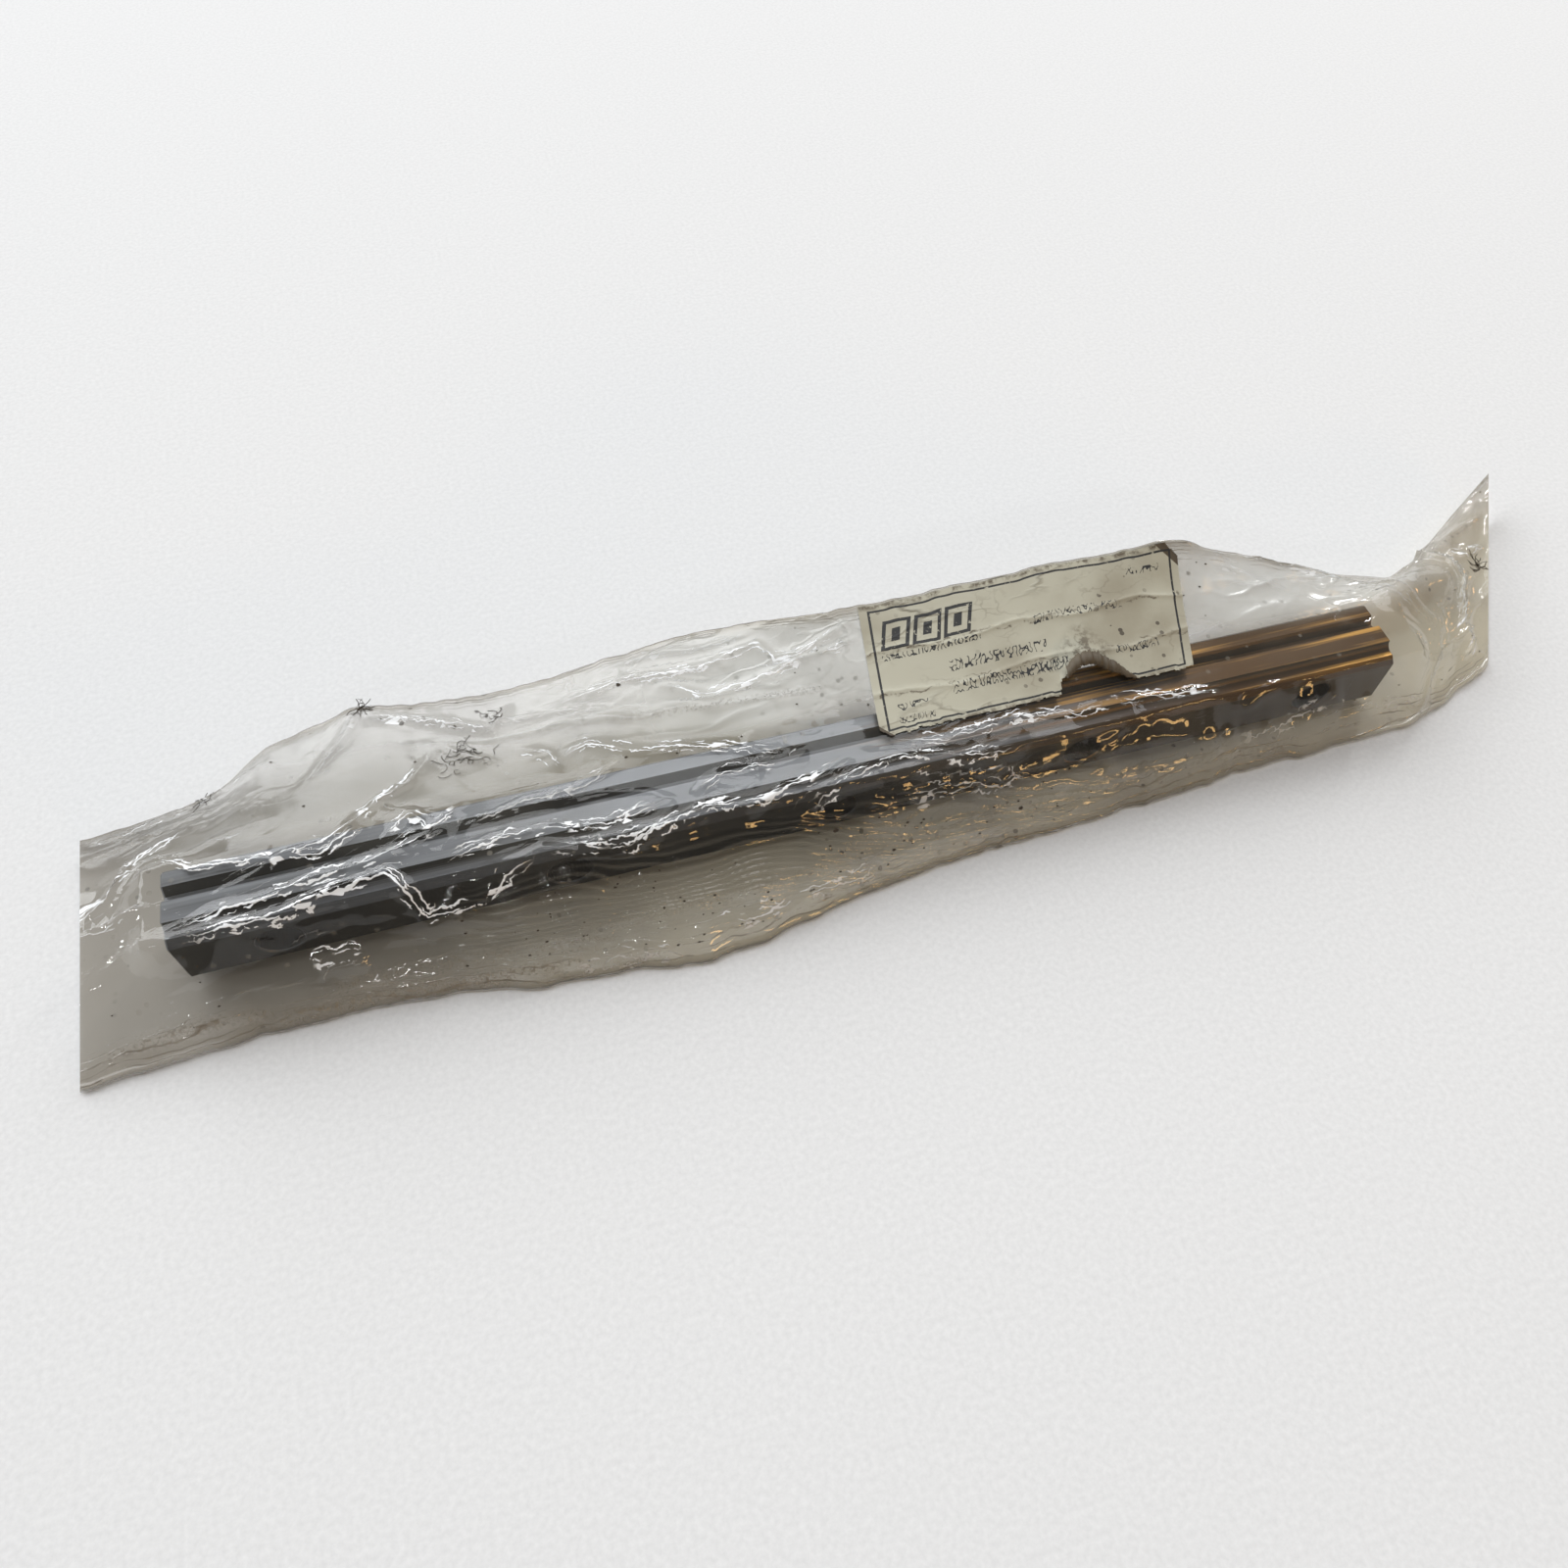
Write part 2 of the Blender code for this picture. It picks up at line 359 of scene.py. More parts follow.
class SharedEffects:
    """The node groups that more than one material places."""

    def __init__(self) -> None:
        """Builds each group once."""
        self.branching_creases = self._branching_creases()
        self.grime = self._grime()

    def creases(self, wire: Wiring, density: float, width: float, stretch: float, cover: float) -> Socket:
        """Places the creases in a node tree.

        Args:
            wire: the node tree to wire. density, width, stretch, cover: what the group's inputs hold.

        Returns:
            The lines' mask.
        """
        values = {"Density": density, "Width": width, "Stretch": stretch, "Cover": cover}
        return wire.group(self.branching_creases, **values).outputs[0]

    @staticmethod
    def _branching_creases() -> bpy.types.NodeTree:
        """Thin crooked lines that meet and fade out, as where a stiff sheet was crumpled and smoothed again.

        Returns:
            The node group.
        """
        group = new_group(
            "branching_creases", {"Density": 60.0, "Width": 0.03, "Stretch": 0.45, "Cover": 0.5}, ["Lines"]
        )
        wire = Wiring(group)
        given = group.nodes["in"].outputs
        coordinates = wire.add("ShaderNodeTexCoord")
        stretch = wire.add("ShaderNodeCombineXYZ")
        wire.link(given["Stretch"], stretch.inputs["X"])
        for axis in ("Y", "Z"):
            stretch.inputs[axis].default_value = 1.0
        scaled = wire.add("ShaderNodeVectorMath", operation="MULTIPLY")
        wire.link(coordinates.outputs["Object"], scaled.inputs[0])
        wire.link(stretch.outputs[0], scaled.inputs[1])
        crooked = wire.add("ShaderNodeTexNoise")
        wire.link(scaled.outputs[0], crooked.inputs["Vector"])
        wire.link(wire.times(given["Density"], 2.2), crooked.inputs["Scale"])
        crooked.inputs["Detail"].default_value = 3.0
        bend = wire.add("ShaderNodeVectorMath", operation="SCALE")
        wire.link(crooked.outputs["Color"], bend.inputs[0])
        wire.link(wire.over(0.85, given["Density"]), bend.inputs["Scale"])
        bent = wire.add("ShaderNodeVectorMath", operation="ADD")
        wire.link(scaled.outputs[0], bent.inputs[0])
        wire.link(bend.outputs[0], bent.inputs[1])
        cells = wire.add("ShaderNodeTexVoronoi", feature="DISTANCE_TO_EDGE")
        wire.link(bent.outputs[0], cells.inputs["Vector"])
        wire.link(given["Density"], cells.inputs["Scale"])
        line = wire.line(cells.outputs["Distance"], given["Width"])
        patches = wire.add("ShaderNodeTexNoise")
        wire.link(scaled.outputs[0], patches.inputs["Vector"])
        wire.link(wire.times(given["Density"], 0.55), patches.inputs["Scale"])
        patches.inputs["Detail"].default_value = 2.0
        past = wire.minus(patches.outputs["Fac"], wire.minus(1.0, given["Cover"]))
        shown = wire.times(past, 6.0, clamp=True)
        wire.link(wire.times(line, shown), group.nodes["out"].inputs["Lines"])
        return group

    @staticmethod
    def _grime() -> bpy.types.NodeTree:
        """Dust in soft clouds, with small dark specks.

        Returns:
            The node group.
        """
        group = new_group(
            "grime", {"Cloud Size": 30.0, "Speck Size": 600.0, "Specks": 0.3}, ["Clouds", "Dots"]
        )
        wire = Wiring(group)
        given = group.nodes["in"].outputs
        coordinates = wire.add("ShaderNodeTexCoord").outputs["Object"]
        clouds = wire.add("ShaderNodeTexNoise")
        wire.link(coordinates, clouds.inputs["Vector"])
        wire.link(given["Cloud Size"], clouds.inputs["Scale"])
        clouds.inputs["Detail"].default_value = 6.0
        cloudy = wire.ramp(clouds.outputs["Fac"], 0.42, 0.72)
        wire.link(cloudy, group.nodes["out"].inputs["Clouds"])
        specks = wire.add("ShaderNodeTexVoronoi")
        wire.link(coordinates, specks.inputs["Vector"])
        wire.link(given["Speck Size"], specks.inputs["Scale"])
        near = wire.maths("LESS_THAN", specks.outputs["Distance"], given["Specks"])
        chosen = wire.add("ShaderNodeSeparateColor")
        wire.link(specks.outputs["Color"], chosen.inputs[0])
        rare = wire.maths("GREATER_THAN", chosen.outputs[0], 0.88)
        dots = wire.times(wire.times(near, rare), cloudy)
        wire.link(dots, group.nodes["out"].inputs["Dots"])
        return group


def new_mesh(name: str, points: list, faces: list, *finishes: bpy.types.Material) -> bpy.types.Mesh:
    """A mesh from its points and faces, with its materials."""
    mesh = bpy.data.meshes.new(name)
    mesh.from_pydata(points, [], faces)
    for finish in finishes:
        mesh.materials.append(finish)
    return mesh


def new_object(name: str, data: bpy.types.ID) -> bpy.types.Object:
    """A new object in the scene that shows the data.

    Args:
        name: the object's name. data: its mesh, lamp or camera.

    Returns:
        The object.
    """
    made = bpy.data.objects.new(name, data)
    bpy.context.scene.collection.objects.link(made)
    return made


def new_material(name: str) -> tuple[bpy.types.Material, Wiring, bpy.types.Node]:
    """An empty node material.

    Args:
        name: the material's name.

    Returns:
        The material, its wiring and its Principled BSDF.
    """
    material = bpy.data.materials.new(name)
    material.use_nodes = True
    return material, Wiring(material.node_tree), material.node_tree.nodes["Principled BSDF"]


# ---------------------------------------------------------------- finishes


@dataclass(frozen=True)
class GroundSteel:
    """Ground steel with grinding lines along the bar, a head face painted near black as painted shade, screw
    holes painted black inside as painted shade, and amber oil at one end whose amber streaks are partly a
    painted warm reflection.
    """

    light: Triple = (0.150, 0.156, 0.168)
    worn: Triple = (0.105, 0.108, 0.112)
    bright: Triple = (0.21, 0.22, 0.23)
    # painted shade: the head face is painted near black, with an oil-tinted copy, for the dark it shows in
    # shade
    dark: Triple = (0.008, 0.008, 0.008)
    oiled: Triple = (0.065, 0.033, 0.011)
    # amber streaks of oil colour that are partly a painted warm reflection
    amber: Triple = (0.52, 0.28, 0.065)
    oiled_head_shade: Triple = (0.052, 0.034, 0.015)
    hole_shade: Triple = (0.003, 0.003, 0.003)
    roughness: float = 0.38
    oil_and_warm_glint_from: float = 0.005
    oil_and_warm_glint_to: float = 0.090
    # where the screw holes are painted dark inside as painted shade: their axes' height, their reach and how
    # deep they start
    axis_height: float = 0.0107
    hole_reach: float = 0.005
    hole_inside: float = 0.0079

    def build(self) -> bpy.types.Material:
        """Makes the material.

        Returns:
            The material.
        """
        material, wire, shader = new_material("ground_steel")
        lines = wire.noise(wire.stretched((5.0, 700.0, 700.0)), 1.0, 4.0, 0.6)
        stains = wire.noise(wire.stretched((30.0, 120.0, 120.0)), 1.0, 4.0, 0.6)
        streams = wire.noise(wire.stretched((14.0, 420.0, 420.0)), 1.0, 3.0, 0.6)
        # the head face, picked out by its normal, gets the painted shade colours
        head = wire.ramp(wire.place("Normal").outputs["Y"], -0.35, -0.9)
        place = wire.place()
        uneven = wire.plus(place.outputs["X"], wire.times(wire.minus(streams, 0.5), 0.09))
        # the oil tint towards one end, partly oil and partly a painted warm reflection
        oil = wire.ramp(uneven, self.oil_and_warm_glint_from, self.oil_and_warm_glint_to)
        ground = wire.mix(wire.ramp(stains, 0.35, 0.75), self.light, self.worn)
        streaked = wire.mix(wire.ramp(lines, 0.35, 0.8), ground, self.bright)
        # the amber streaks are partly oil and partly a painted warm reflection
        amber = wire.mix(wire.ramp(streams, 0.46, 0.66), self.oiled, self.amber)
        side = wire.mix(oil, streaked, amber)
        face = wire.mix(oil, self.dark, self.oiled_head_shade)
        # painted shade: the inside of each screw hole is painted near black
        within = wire.maths("LESS_THAN", wire.gap(place.outputs["Z"], self.axis_height), self.hole_reach)
        deep = wire.maths("LESS_THAN", wire.maths("ABSOLUTE", place.outputs["Y"]), self.hole_inside)
        outside = wire.mix(head, side, face)
        wire.link(wire.mix(wire.times(within, deep), outside, self.hole_shade), shader.inputs["Base Color"])
        shader.inputs["Metallic"].default_value = 0.75
        rough = wire.plus(wire.times(lines, 0.22), self.roughness - 0.1)
        wire.link(rough, shader.inputs["Roughness"])
        wire.link(wire.bump(lines, 0.10, 0.00005), shader.inputs["Normal"])
        return material


@dataclass(frozen=True)
class ClearFilm:
    """Polyethylene film: clear and glossy, with white lines and patches painted along its placed folds as
    highlights, a whiter far slope that is partly dust and partly painted sheen, and dulled by dust and grime.
    """

    name: str
    haze: float
    # how much whiter the haze on the far slope is, partly dust and partly painted sheen
    far_dust_and_sheen_haze: float
    dust: float
    dust_colour: Triple
    # the far slope's paler colour on the upper film, partly dust and partly painted sheen; on the lower film,
    # its colour towards the tail end
    far_colour: Triple
    creased: bool = True
    gloss_roughness: float = 0.05

    def build(self, effects: SharedEffects) -> bpy.types.Material:
        """Makes the material. The mesh's own attributes say where folds run and how thick the haze is.

        Args:
            effects: the shared node groups.

        Returns:
            The material.
        """
        material, wire, shader = new_material(self.name)
        grime = wire.group(effects.grime, Cloud_Size=38.0, Speck_Size=480.0, Specks=0.28)
        # on the upper film, far marks the far slope, whose whiter haze and paler colour are partly dust and
        # partly painted sheen
        far = self._attribute(wire, "film_far_dust_and_sheen")
        haze = wire.plus(wire.times(grime.outputs["Clouds"], self.dust), self.haze)
        haze = wire.plus(haze, wire.times(far, self.far_dust_and_sheen_haze))
        if not self.creased:
            place = wire.place()
            far = wire.ramp(place.outputs["X"], -0.15, 0.01)
            raised = wire.ramp(place.outputs["Z"], 0.002, 0.010)
            folds = effects.creases(wire, 60.0, 0.045, 0.5, 0.54)
            haze = wire.minus(haze, wire.times(raised, 0.55))
            haze = wire.plus(haze, wire.times(wire.times(folds, raised), 0.22))
        colour = wire.mix(far, self.dust_colour, self.far_colour)
        dusty = tuple(0.72 * c for c in self.dust_colour)
        colour = wire.mix(wire.times(grime.outputs["Clouds"], 0.5), colour, dusty)
        normal = None
        if self.creased:
            haze, colour, normal = self._crease(wire, effects, haze, colour)
            wire.link(normal, shader.inputs["Normal"])
        haze = wire.plus(haze, wire.times(grime.outputs["Dots"], 0.7), clamp=True)
        wire.link(wire.mix(grime.outputs["Dots"], colour, (0.05, 0.04, 0.03)), shader.inputs["Base Color"])
        wire.link(haze, shader.inputs["Alpha"])
        shader.inputs["Roughness"].default_value = 0.5
        self._shine(material, wire, shader, normal)
        return material

    def _crease(
        self, wire: Wiring, effects: SharedEffects, haze: Socket, colour: Socket
    ) -> tuple[Socket, ...]:
        """Adds creases, fold lines (painted highlights and brown dirt) and streaks.

        Args:
            wire: the node tree to wire. effects: the shared node groups. haze, colour: what the film has so
            far.

        Returns:
            The haze, the colour and the normal with them.
        """
        coarse = effects.creases(wire, 42.0, 0.035, 0.5, 0.50)
        fine = effects.creases(wire, 120.0, 0.05, 0.6, 0.44)
        streaky = self._attribute(wire, "film_streak")
        calm = wire.minus(1.0, wire.times(streaky, 0.97))
        white, brown = self._fold_lines(wire)
        haze = wire.plus(haze, wire.times(wire.times(coarse, calm), 0.12))
        # painted highlight: the fold glints are nearly opaque and near white
        haze = wire.most(haze, wire.times(white, 0.92))
        haze = wire.most(haze, wire.times(brown, 0.75))
        colour = wire.mix(white, wire.mix(brown, colour, (0.09, 0.065, 0.03)), (0.95, 0.96, 0.97))
        height = wire.times(wire.plus(coarse, wire.times(fine, 0.15)), calm)
        height = wire.plus(height, wire.times(white, 0.8))
        gathers = self._gathers(wire)
        height = wire.plus(height, gathers)
        haze = wire.plus(haze, wire.times(wire.plus(gathers, 0.03), 0.5, clamp=True))
        hems = self._hems(wire)
        height = wire.plus(height, wire.times(hems, 0.8))
        haze = wire.plus(haze, wire.times(hems, 0.6))
        band = wire.times(wire.ramp(self._attribute(wire, "film_edge"), 6.5, 0.0), 0.30)
        haze = wire.plus(haze, band)
        colour = wire.mix(wire.times(band, 2.4, clamp=True), colour, (0.27, 0.225, 0.155))
        colour = wire.mix(wire.times(hems, 0.75), colour, (0.13, 0.10, 0.06))
        drawn = wire.noise(wire.stretched((4.5, 330.0, 200.0)), 1.0, 3.0, 0.5)
        height = wire.plus(height, wire.times(wire.times(drawn, streaky), 0.55))
        return haze, colour, wire.bump(height, 0.6, CREASE_RELIEF)

    def _shine(
        self, material: bpy.types.Material, wire: Wiring, shader: bpy.types.Node,
        normal: Socket | None
    ) -> None:
        """Puts a sharp mirror-like shine over the film, as strong from inside it as from outside.

        Args:
            material, wire, shader: the material, its node tree and its Principled BSDF. normal: the creased
            normal.
        """
        gloss = wire.add("ShaderNodeBsdfGlossy")
        gloss.inputs["Roughness"].default_value = self.gloss_roughness
        if self.creased:
            dulled = wire.times(self._attribute(wire, "film_dull"), 0.15)
            wire.link(wire.plus(dulled, self.gloss_roughness), gloss.inputs["Roughness"])
        mirrored = wire.add("ShaderNodeFresnel")
        inner = wire.add("ShaderNodeNewGeometry").outputs["Backfacing"]
        wire.link(wire.minus(1.5, wire.times(inner, 1.5 - 1 / 1.5)), mirrored.inputs["IOR"])
        if normal is not None:
            wire.link(normal, gloss.inputs["Normal"])
            wire.link(normal, mirrored.inputs["Normal"])
        whole = wire.add("ShaderNodeMixShader")
        wire.link(mirrored.outputs[0], whole.inputs[0])
        wire.link(shader.outputs[0], whole.inputs[1])
        wire.link(gloss.outputs[0], whole.inputs[2])
        wire.link(whole.outputs[0], material.node_tree.nodes["Material Output"].inputs["Surface"])

    @staticmethod
    def _attribute(wire: Wiring, name: str) -> Socket:
        """A mesh attribute's value."""
        return wire.add("ShaderNodeAttribute", attribute_name=name).outputs["Fac"]

    def _fold_lines(self, wire: Wiring) -> tuple[Socket, Socket]:
        """White lines painted as highlights, and brown dirt lines, beside the film's placed folds.

        Args:
            wire: the node tree to wire.

        Returns:
            The painted highlight mask and the brown dirt one.
        """
        side, glint = self._attribute(wire, "fold_side"), self._attribute(wire, "fold_glint")
        near = wire.minus(1.0, wire.ramp(self._attribute(wire, "fold_away"), 2.6, 4.5))
        whole = wire.stretched()
        thick = wire.plus(wire.times(glint, 0.7), 0.3)
        lines = None
        for offset, scale, sway, width, low, high in (
            (0.0, 210.0, 3.4, 0.19, 0.40, 0.47), (0.8, 340.0, 2.8, 0.13, 0.46, 0.53),
            (-0.9, 430.0, 2.6, 0.12, 0.47, 0.54), (1.7, 290.0, 3.6, 0.11, 0.49, 0.57),
        ):
            wiggle = wire.times(wire.minus(wire.noise(whole, scale, 3.0, 0.6), 0.5), sway)
            off = wire.gap(wire.plus(side, wiggle), offset)
            patchy = wire.noise(whole, scale * 0.55, 2.0)
            reach = wire.plus(wire.times(wire.ramp(patchy, 0.5, 0.72), 0.24), width)
            reach = wire.times(reach, thick)
            line = wire.times(wire.line(off, reach), 2.2, clamp=True)
            line = wire.times(line, wire.ramp(patchy, low, high))
            lines = line if lines is None else wire.most(lines, line)
        lines = wire.most(lines, self._facets(wire, side))
        # painted highlight: white lines and patches along the folds, as strong as each fold's glint value
        white = wire.times(wire.times(lines, near), wire.times(glint, 1.4), clamp=True)
        crumbs = wire.ramp(wire.noise(whole, 900.0, 3.0, 0.7), 0.46, 0.60)
        beside = wire.gap(side, -0.5)
        streak = wire.line(beside, 1.4)
        dirt = wire.times(near, self._attribute(wire, "fold_dirt"))
        brown = wire.times(wire.times(streak, crumbs), dirt, clamp=True)
        return white, brown

    @staticmethod
    def _facets(wire: Wiring, side: Socket) -> Socket:
        """Small patches beside a fold, painted white as highlights, like flat facets that catch the light
        whole.

        Args:
            wire: the node tree to wire. side: how far to the side of the fold, in millimetres.

        Returns:
            The mask.
        """
        cells = wire.add("ShaderNodeTexVoronoi")
        wire.link(wire.stretched((430.0, 900.0, 900.0)), cells.inputs["Vector"])
        cells.inputs["Scale"].default_value = 1.0
        chosen = wire.add("ShaderNodeSeparateColor")
        wire.link(cells.outputs["Color"], chosen.inputs[0])
        groups = wire.ramp(wire.noise(wire.stretched(), 95.0, 2.0), 0.57, 0.62)
        picked = wire.times(wire.maths("GREATER_THAN", chosen.outputs[0], 0.74), groups)
        return wire.times(picked, wire.maths("LESS_THAN", wire.maths("ABSOLUTE", side), 1.4))

    def _hems(self, wire: Wiring) -> Socket:
        """Broken lines that follow the bag's near edge and far crest, where the film was folded before.

        Args:
            wire: the node tree to wire.

        Returns:
            The mask.
        """
        edge = self._attribute(wire, "film_edge")
        drift = wire.noise(wire.stretched((22.0, 60.0, 60.0)), 1.0, 4.0, 0.6)
        sway = wire.plus(edge, wire.times(wire.minus(drift, 0.5), 5.0))
        broken = wire.noise(wire.stretched((60.0, 240.0, 240.0)), 1.0, 3.0, 0.6)
        total = None
        for level, width, low in (
            (0.8, 0.16, 0.40), (1.7, 0.13, 0.44), (2.8, 0.20, 0.44), (4.0, 0.12, 0.46), (5.6, 0.14, 0.50)
        ):
            off = wire.gap(sway, level)
            line = wire.line(off, width)
            line = wire.times(line, wire.ramp(broken, low, low + 0.12))
            total = line if total is None else wire.most(total, line)
        return total

    def _gathers(self, wire: Wiring) -> Socket:
        """Fine parallel ripples, as bump height, where the mesh's gather attribute asks for them.

        Args:
            wire: the node tree to wire.

        Returns:
            The height.
        """
        place = wire.place()
        sway = wire.times(wire.noise(wire.stretched((0.35, 1.0, 1.0)), 60.0, 1.0), 0.010)
        across = wire.plus(wire.plus(place.outputs["Y"], wire.times(place.outputs["X"], 0.06)), sway)
        ripple = wire.maths("SINE", wire.times(across, 2 * math.pi / 0.00105))
        return wire.times(wire.times(ripple, self._attribute(wire, "film_gather")), 0.20)


@dataclass(frozen=True)
class LabelStock:
    """Off-white label paper with a thin border, a plain mark, bars of print, creases and brown stains."""

    paper: Triple = (0.49, 0.47, 0.37)
    ink: Triple = (0.02, 0.02, 0.02)
    length: float = 78.0
    width: float = 36.0
    # left, right, bottom and top in millimetres on the label, and how dense the print is
    bars: tuple[tuple[float, float, float, float, float], ...] = (
        (3.6, 27.0, 20.2, 21.7, 0.62),
        (18.5, 42.5, 13.6, 16.6, 0.56),
        (18.5, 47.0, 7.6, 10.6, 0.56),
        (59.0, 70.0, 8.4, 10.6, 0.45),
        (5.0, 12.6, 6.4, 8.2, 0.5),
        (5.0, 13.4, 2.9, 4.6, 0.42),
        (40.0, 62.0, 21.2, 23.6, 0.44),
        (64.0, 72.5, 29.5, 31.3, 0.5),
    )

    def build(self, effects: SharedEffects) -> bpy.types.Material:
        """Makes the material. The print is worked out from the label's own flat coordinates.

        Args:
            effects: the shared node groups.

        Returns:
            The material.
        """
        material, wire, shader = new_material("label_stock")
        grime = wire.group(effects.grime, Cloud_Size=45.0, Speck_Size=520.0, Specks=0.3)
        creases = effects.creases(wire, 75.0, 0.05, 0.4, 0.50)
        stained = wire.mix(wire.times(grime.outputs["Clouds"], 0.6), self.paper, (0.25, 0.21, 0.14))
        creased = wire.mix(wire.times(creases, 0.7), stained, (0.12, 0.10, 0.07))
        small = effects.creases(wire, 190.0, 0.06, 0.7, 0.50)
        creased = wire.mix(wire.times(small, 0.4), creased, (0.20, 0.17, 0.12))
        creased = wire.mix(self._wear(wire), creased, (0.10, 0.075, 0.045))
        back = wire.mix(grime.outputs["Clouds"], (0.10, 0.075, 0.045), (0.03, 0.02, 0.012))
        creased = wire.mix(self._back(wire), creased, back)
        spotted = wire.mix(grime.outputs["Dots"], creased, (0.06, 0.045, 0.03))
        worn = wire.noise(wire.stretched(), 700.0, 3.0, 0.6)
        ink = wire.times(self._print(wire), wire.ramp(worn, 0.30, 0.40))
        wire.link(wire.mix(ink, spotted, self.ink), shader.inputs["Base Color"])
        shader.inputs["Roughness"].default_value = 0.6
        wire.link(wire.bump(creases, 0.6, CREASE_RELIEF), shader.inputs["Normal"])
        return material

    @staticmethod
    def _flat(wire: Wiring) -> tuple[Socket, Socket]:
        """The shares across and up the label, from 0 to 1, before it was bent.

        Args:
            wire: the node tree to wire.

        Returns:
            The share across and the share up.
        """
        flat = wire.add("ShaderNodeSeparateXYZ")
        wire.link(wire.add("ShaderNodeUVMap", uv_map="label_uv").outputs[0], flat.inputs[0])
        return flat.outputs[0], flat.outputs[1]

    def _back(self, wire: Wiring) -> Socket:
        """1 on the curled strip that shows the paper's brown back, and at two folded corners.

        Args:
            wire: the node tree to wire.

        Returns:
            The mask.
        """
        across, up = self._flat(wire)
        strip = wire.maths("LESS_THAN", up, -0.1)
        far_corner = wire.plus(wire.times(wire.minus(1.0, across), 2.2), wire.minus(1.0, up))
        near_corner = wire.plus(wire.times(across, 2.2), up)
        corners = wire.most(
            wire.maths("LESS_THAN", far_corner, 0.17),
            wire.maths("LESS_THAN", wire.maths("ABSOLUTE", near_corner), 0.10)
        )
        return wire.most(strip, corners)

    def _wear(self, wire: Wiring) -> Socket:
        """Brown dirt along two long creases, at the torn place and at the edges.

        Args:
            wire: the node tree to wire.

        Returns:
            The mask.
        """
        across, up = self._flat(wire)
        whole = wire.stretched()
        sway = wire.times(wire.minus(wire.noise(whole, 150.0, 4.0, 0.7), 0.5), 0.16)
        crumbs = wire.ramp(wire.noise(whole, 420.0, 3.0, 0.7), 0.42, 0.62)
        total = None
        for level, width in ((0.62, 0.014), (0.30, 0.011), (0.985, 0.035), (0.015, 0.035)):
            off = wire.gap(wire.plus(up, sway if 0.1 < level < 0.9 else 0.0), level)
            line = wire.line(off, width)
            total = line if total is None else wire.most(total, line)
        beside = wire.gap(across, 0.65)
        torn = wire.plus(wire.times(beside, 2.6), wire.gap(up, 0.28))
        torn = wire.ramp(torn, 0.34, 0.10)
        return wire.times(wire.most(total, wire.times(torn, 0.8)), crumbs)

    def _print(self, wire: Wiring) -> Socket:
        """The ink over the label: border lines, a mark of three slanted frames, and rows of short bars.

        Args:
            wire: the node tree to wire.

        Returns:
            The mask.
        """
        flat = self._flat(wire)
        across, up = wire.times(flat[0], self.length), wire.times(flat[1], self.width)
        inner = self._box(wire, across, up, 2.45, self.length - 2.45, 2.15, self.width - 2.15)
        outer = self._box(wire, across, up, 1.9, self.length - 1.9, 1.6, self.width - 1.6)
        ink = wire.minus(outer, inner, clamp=True)
        slanted = wire.minus(across, wire.times(up, 0.18))
        for left in (-0.6, 6.8, 14.2):
            ring = wire.minus(
                self._box(wire, slanted, up, left, left + 6.6, 22.9, 31.0),
                self._box(wire, slanted, up, left + 0.9, left + 5.7, 23.8, 30.1),
                clamp=True,
            )
            core = self._box(wire, slanted, up, left + 2.3, left + 4.3, 25.2, 28.7)
            ink = wire.most(ink, wire.most(ring, core))
        for number, (left, right, low, high, density) in enumerate(self.bars):
            place = wire.add("ShaderNodeCombineXYZ")
            wire.link(across, place.inputs["X"])
            wire.link(wire.times(up, 0.55), place.inputs["Y"])
            place.inputs["Z"].default_value = 7.3 * number
            strokes = wire.gap(wire.noise(place.outputs[0], 1.15, 0.0), 0.5)
            marks = wire.maths("LESS_THAN", strokes, 0.11 * density)
            ink = wire.most(ink, wire.times(marks, self._box(wire, across, up, left, right, low, high)))
        return ink

    @staticmethod
    def _box(
        wire: Wiring, across: Socket, up: Socket, left: float, right: float,
        low: float, high: float
    ) -> Socket:
        """1 inside a rectangle and 0 outside it.

        Args:
            wire: the node tree to wire. across, up: the place on the label. left, right, low, high: the
            rectangle's sides.

        Returns:
            The mask.
        """
        sides = wire.maths("LESS_THAN", wire.gap(across, (left + right) / 2), (right - left) / 2)
        ends = wire.maths("LESS_THAN", wire.gap(up, (low + high) / 2), (high - low) / 2)
        return wire.times(sides, ends)


@dataclass(frozen=True)
class PlainPaint:
    """A matt surface in one colour with a faint mottle, for the floor and the dirt."""

    name: str
    colour: Triple
    roughness: float = 0.9

    def build(self) -> bpy.types.Material:
        """Makes the material.

        Returns:
            The material.
        """
        material, wire, shader = new_material(self.name)
        mottle = wire.noise(wire.stretched(), 900.0, 2.0)
        darker = tuple(0.8 * c for c in self.colour)
        wire.link(wire.mix(mottle, self.colour, darker), shader.inputs["Base Color"])
        shader.inputs["Roughness"].default_value = self.roughness
        return material


# ---------------------------------------------------------------- the film's shape


@dataclass(frozen=True)
class Fold:
    """A crease in the film: a sharp ridge along a path, in millimetres in plan."""

    path: list[Pair]
    height: float
    width: float = 1.6
    dirt: float = 0.0
    # how strongly white highlight lines are painted along the fold
    glint: float = 1.0
    rounded: bool = False


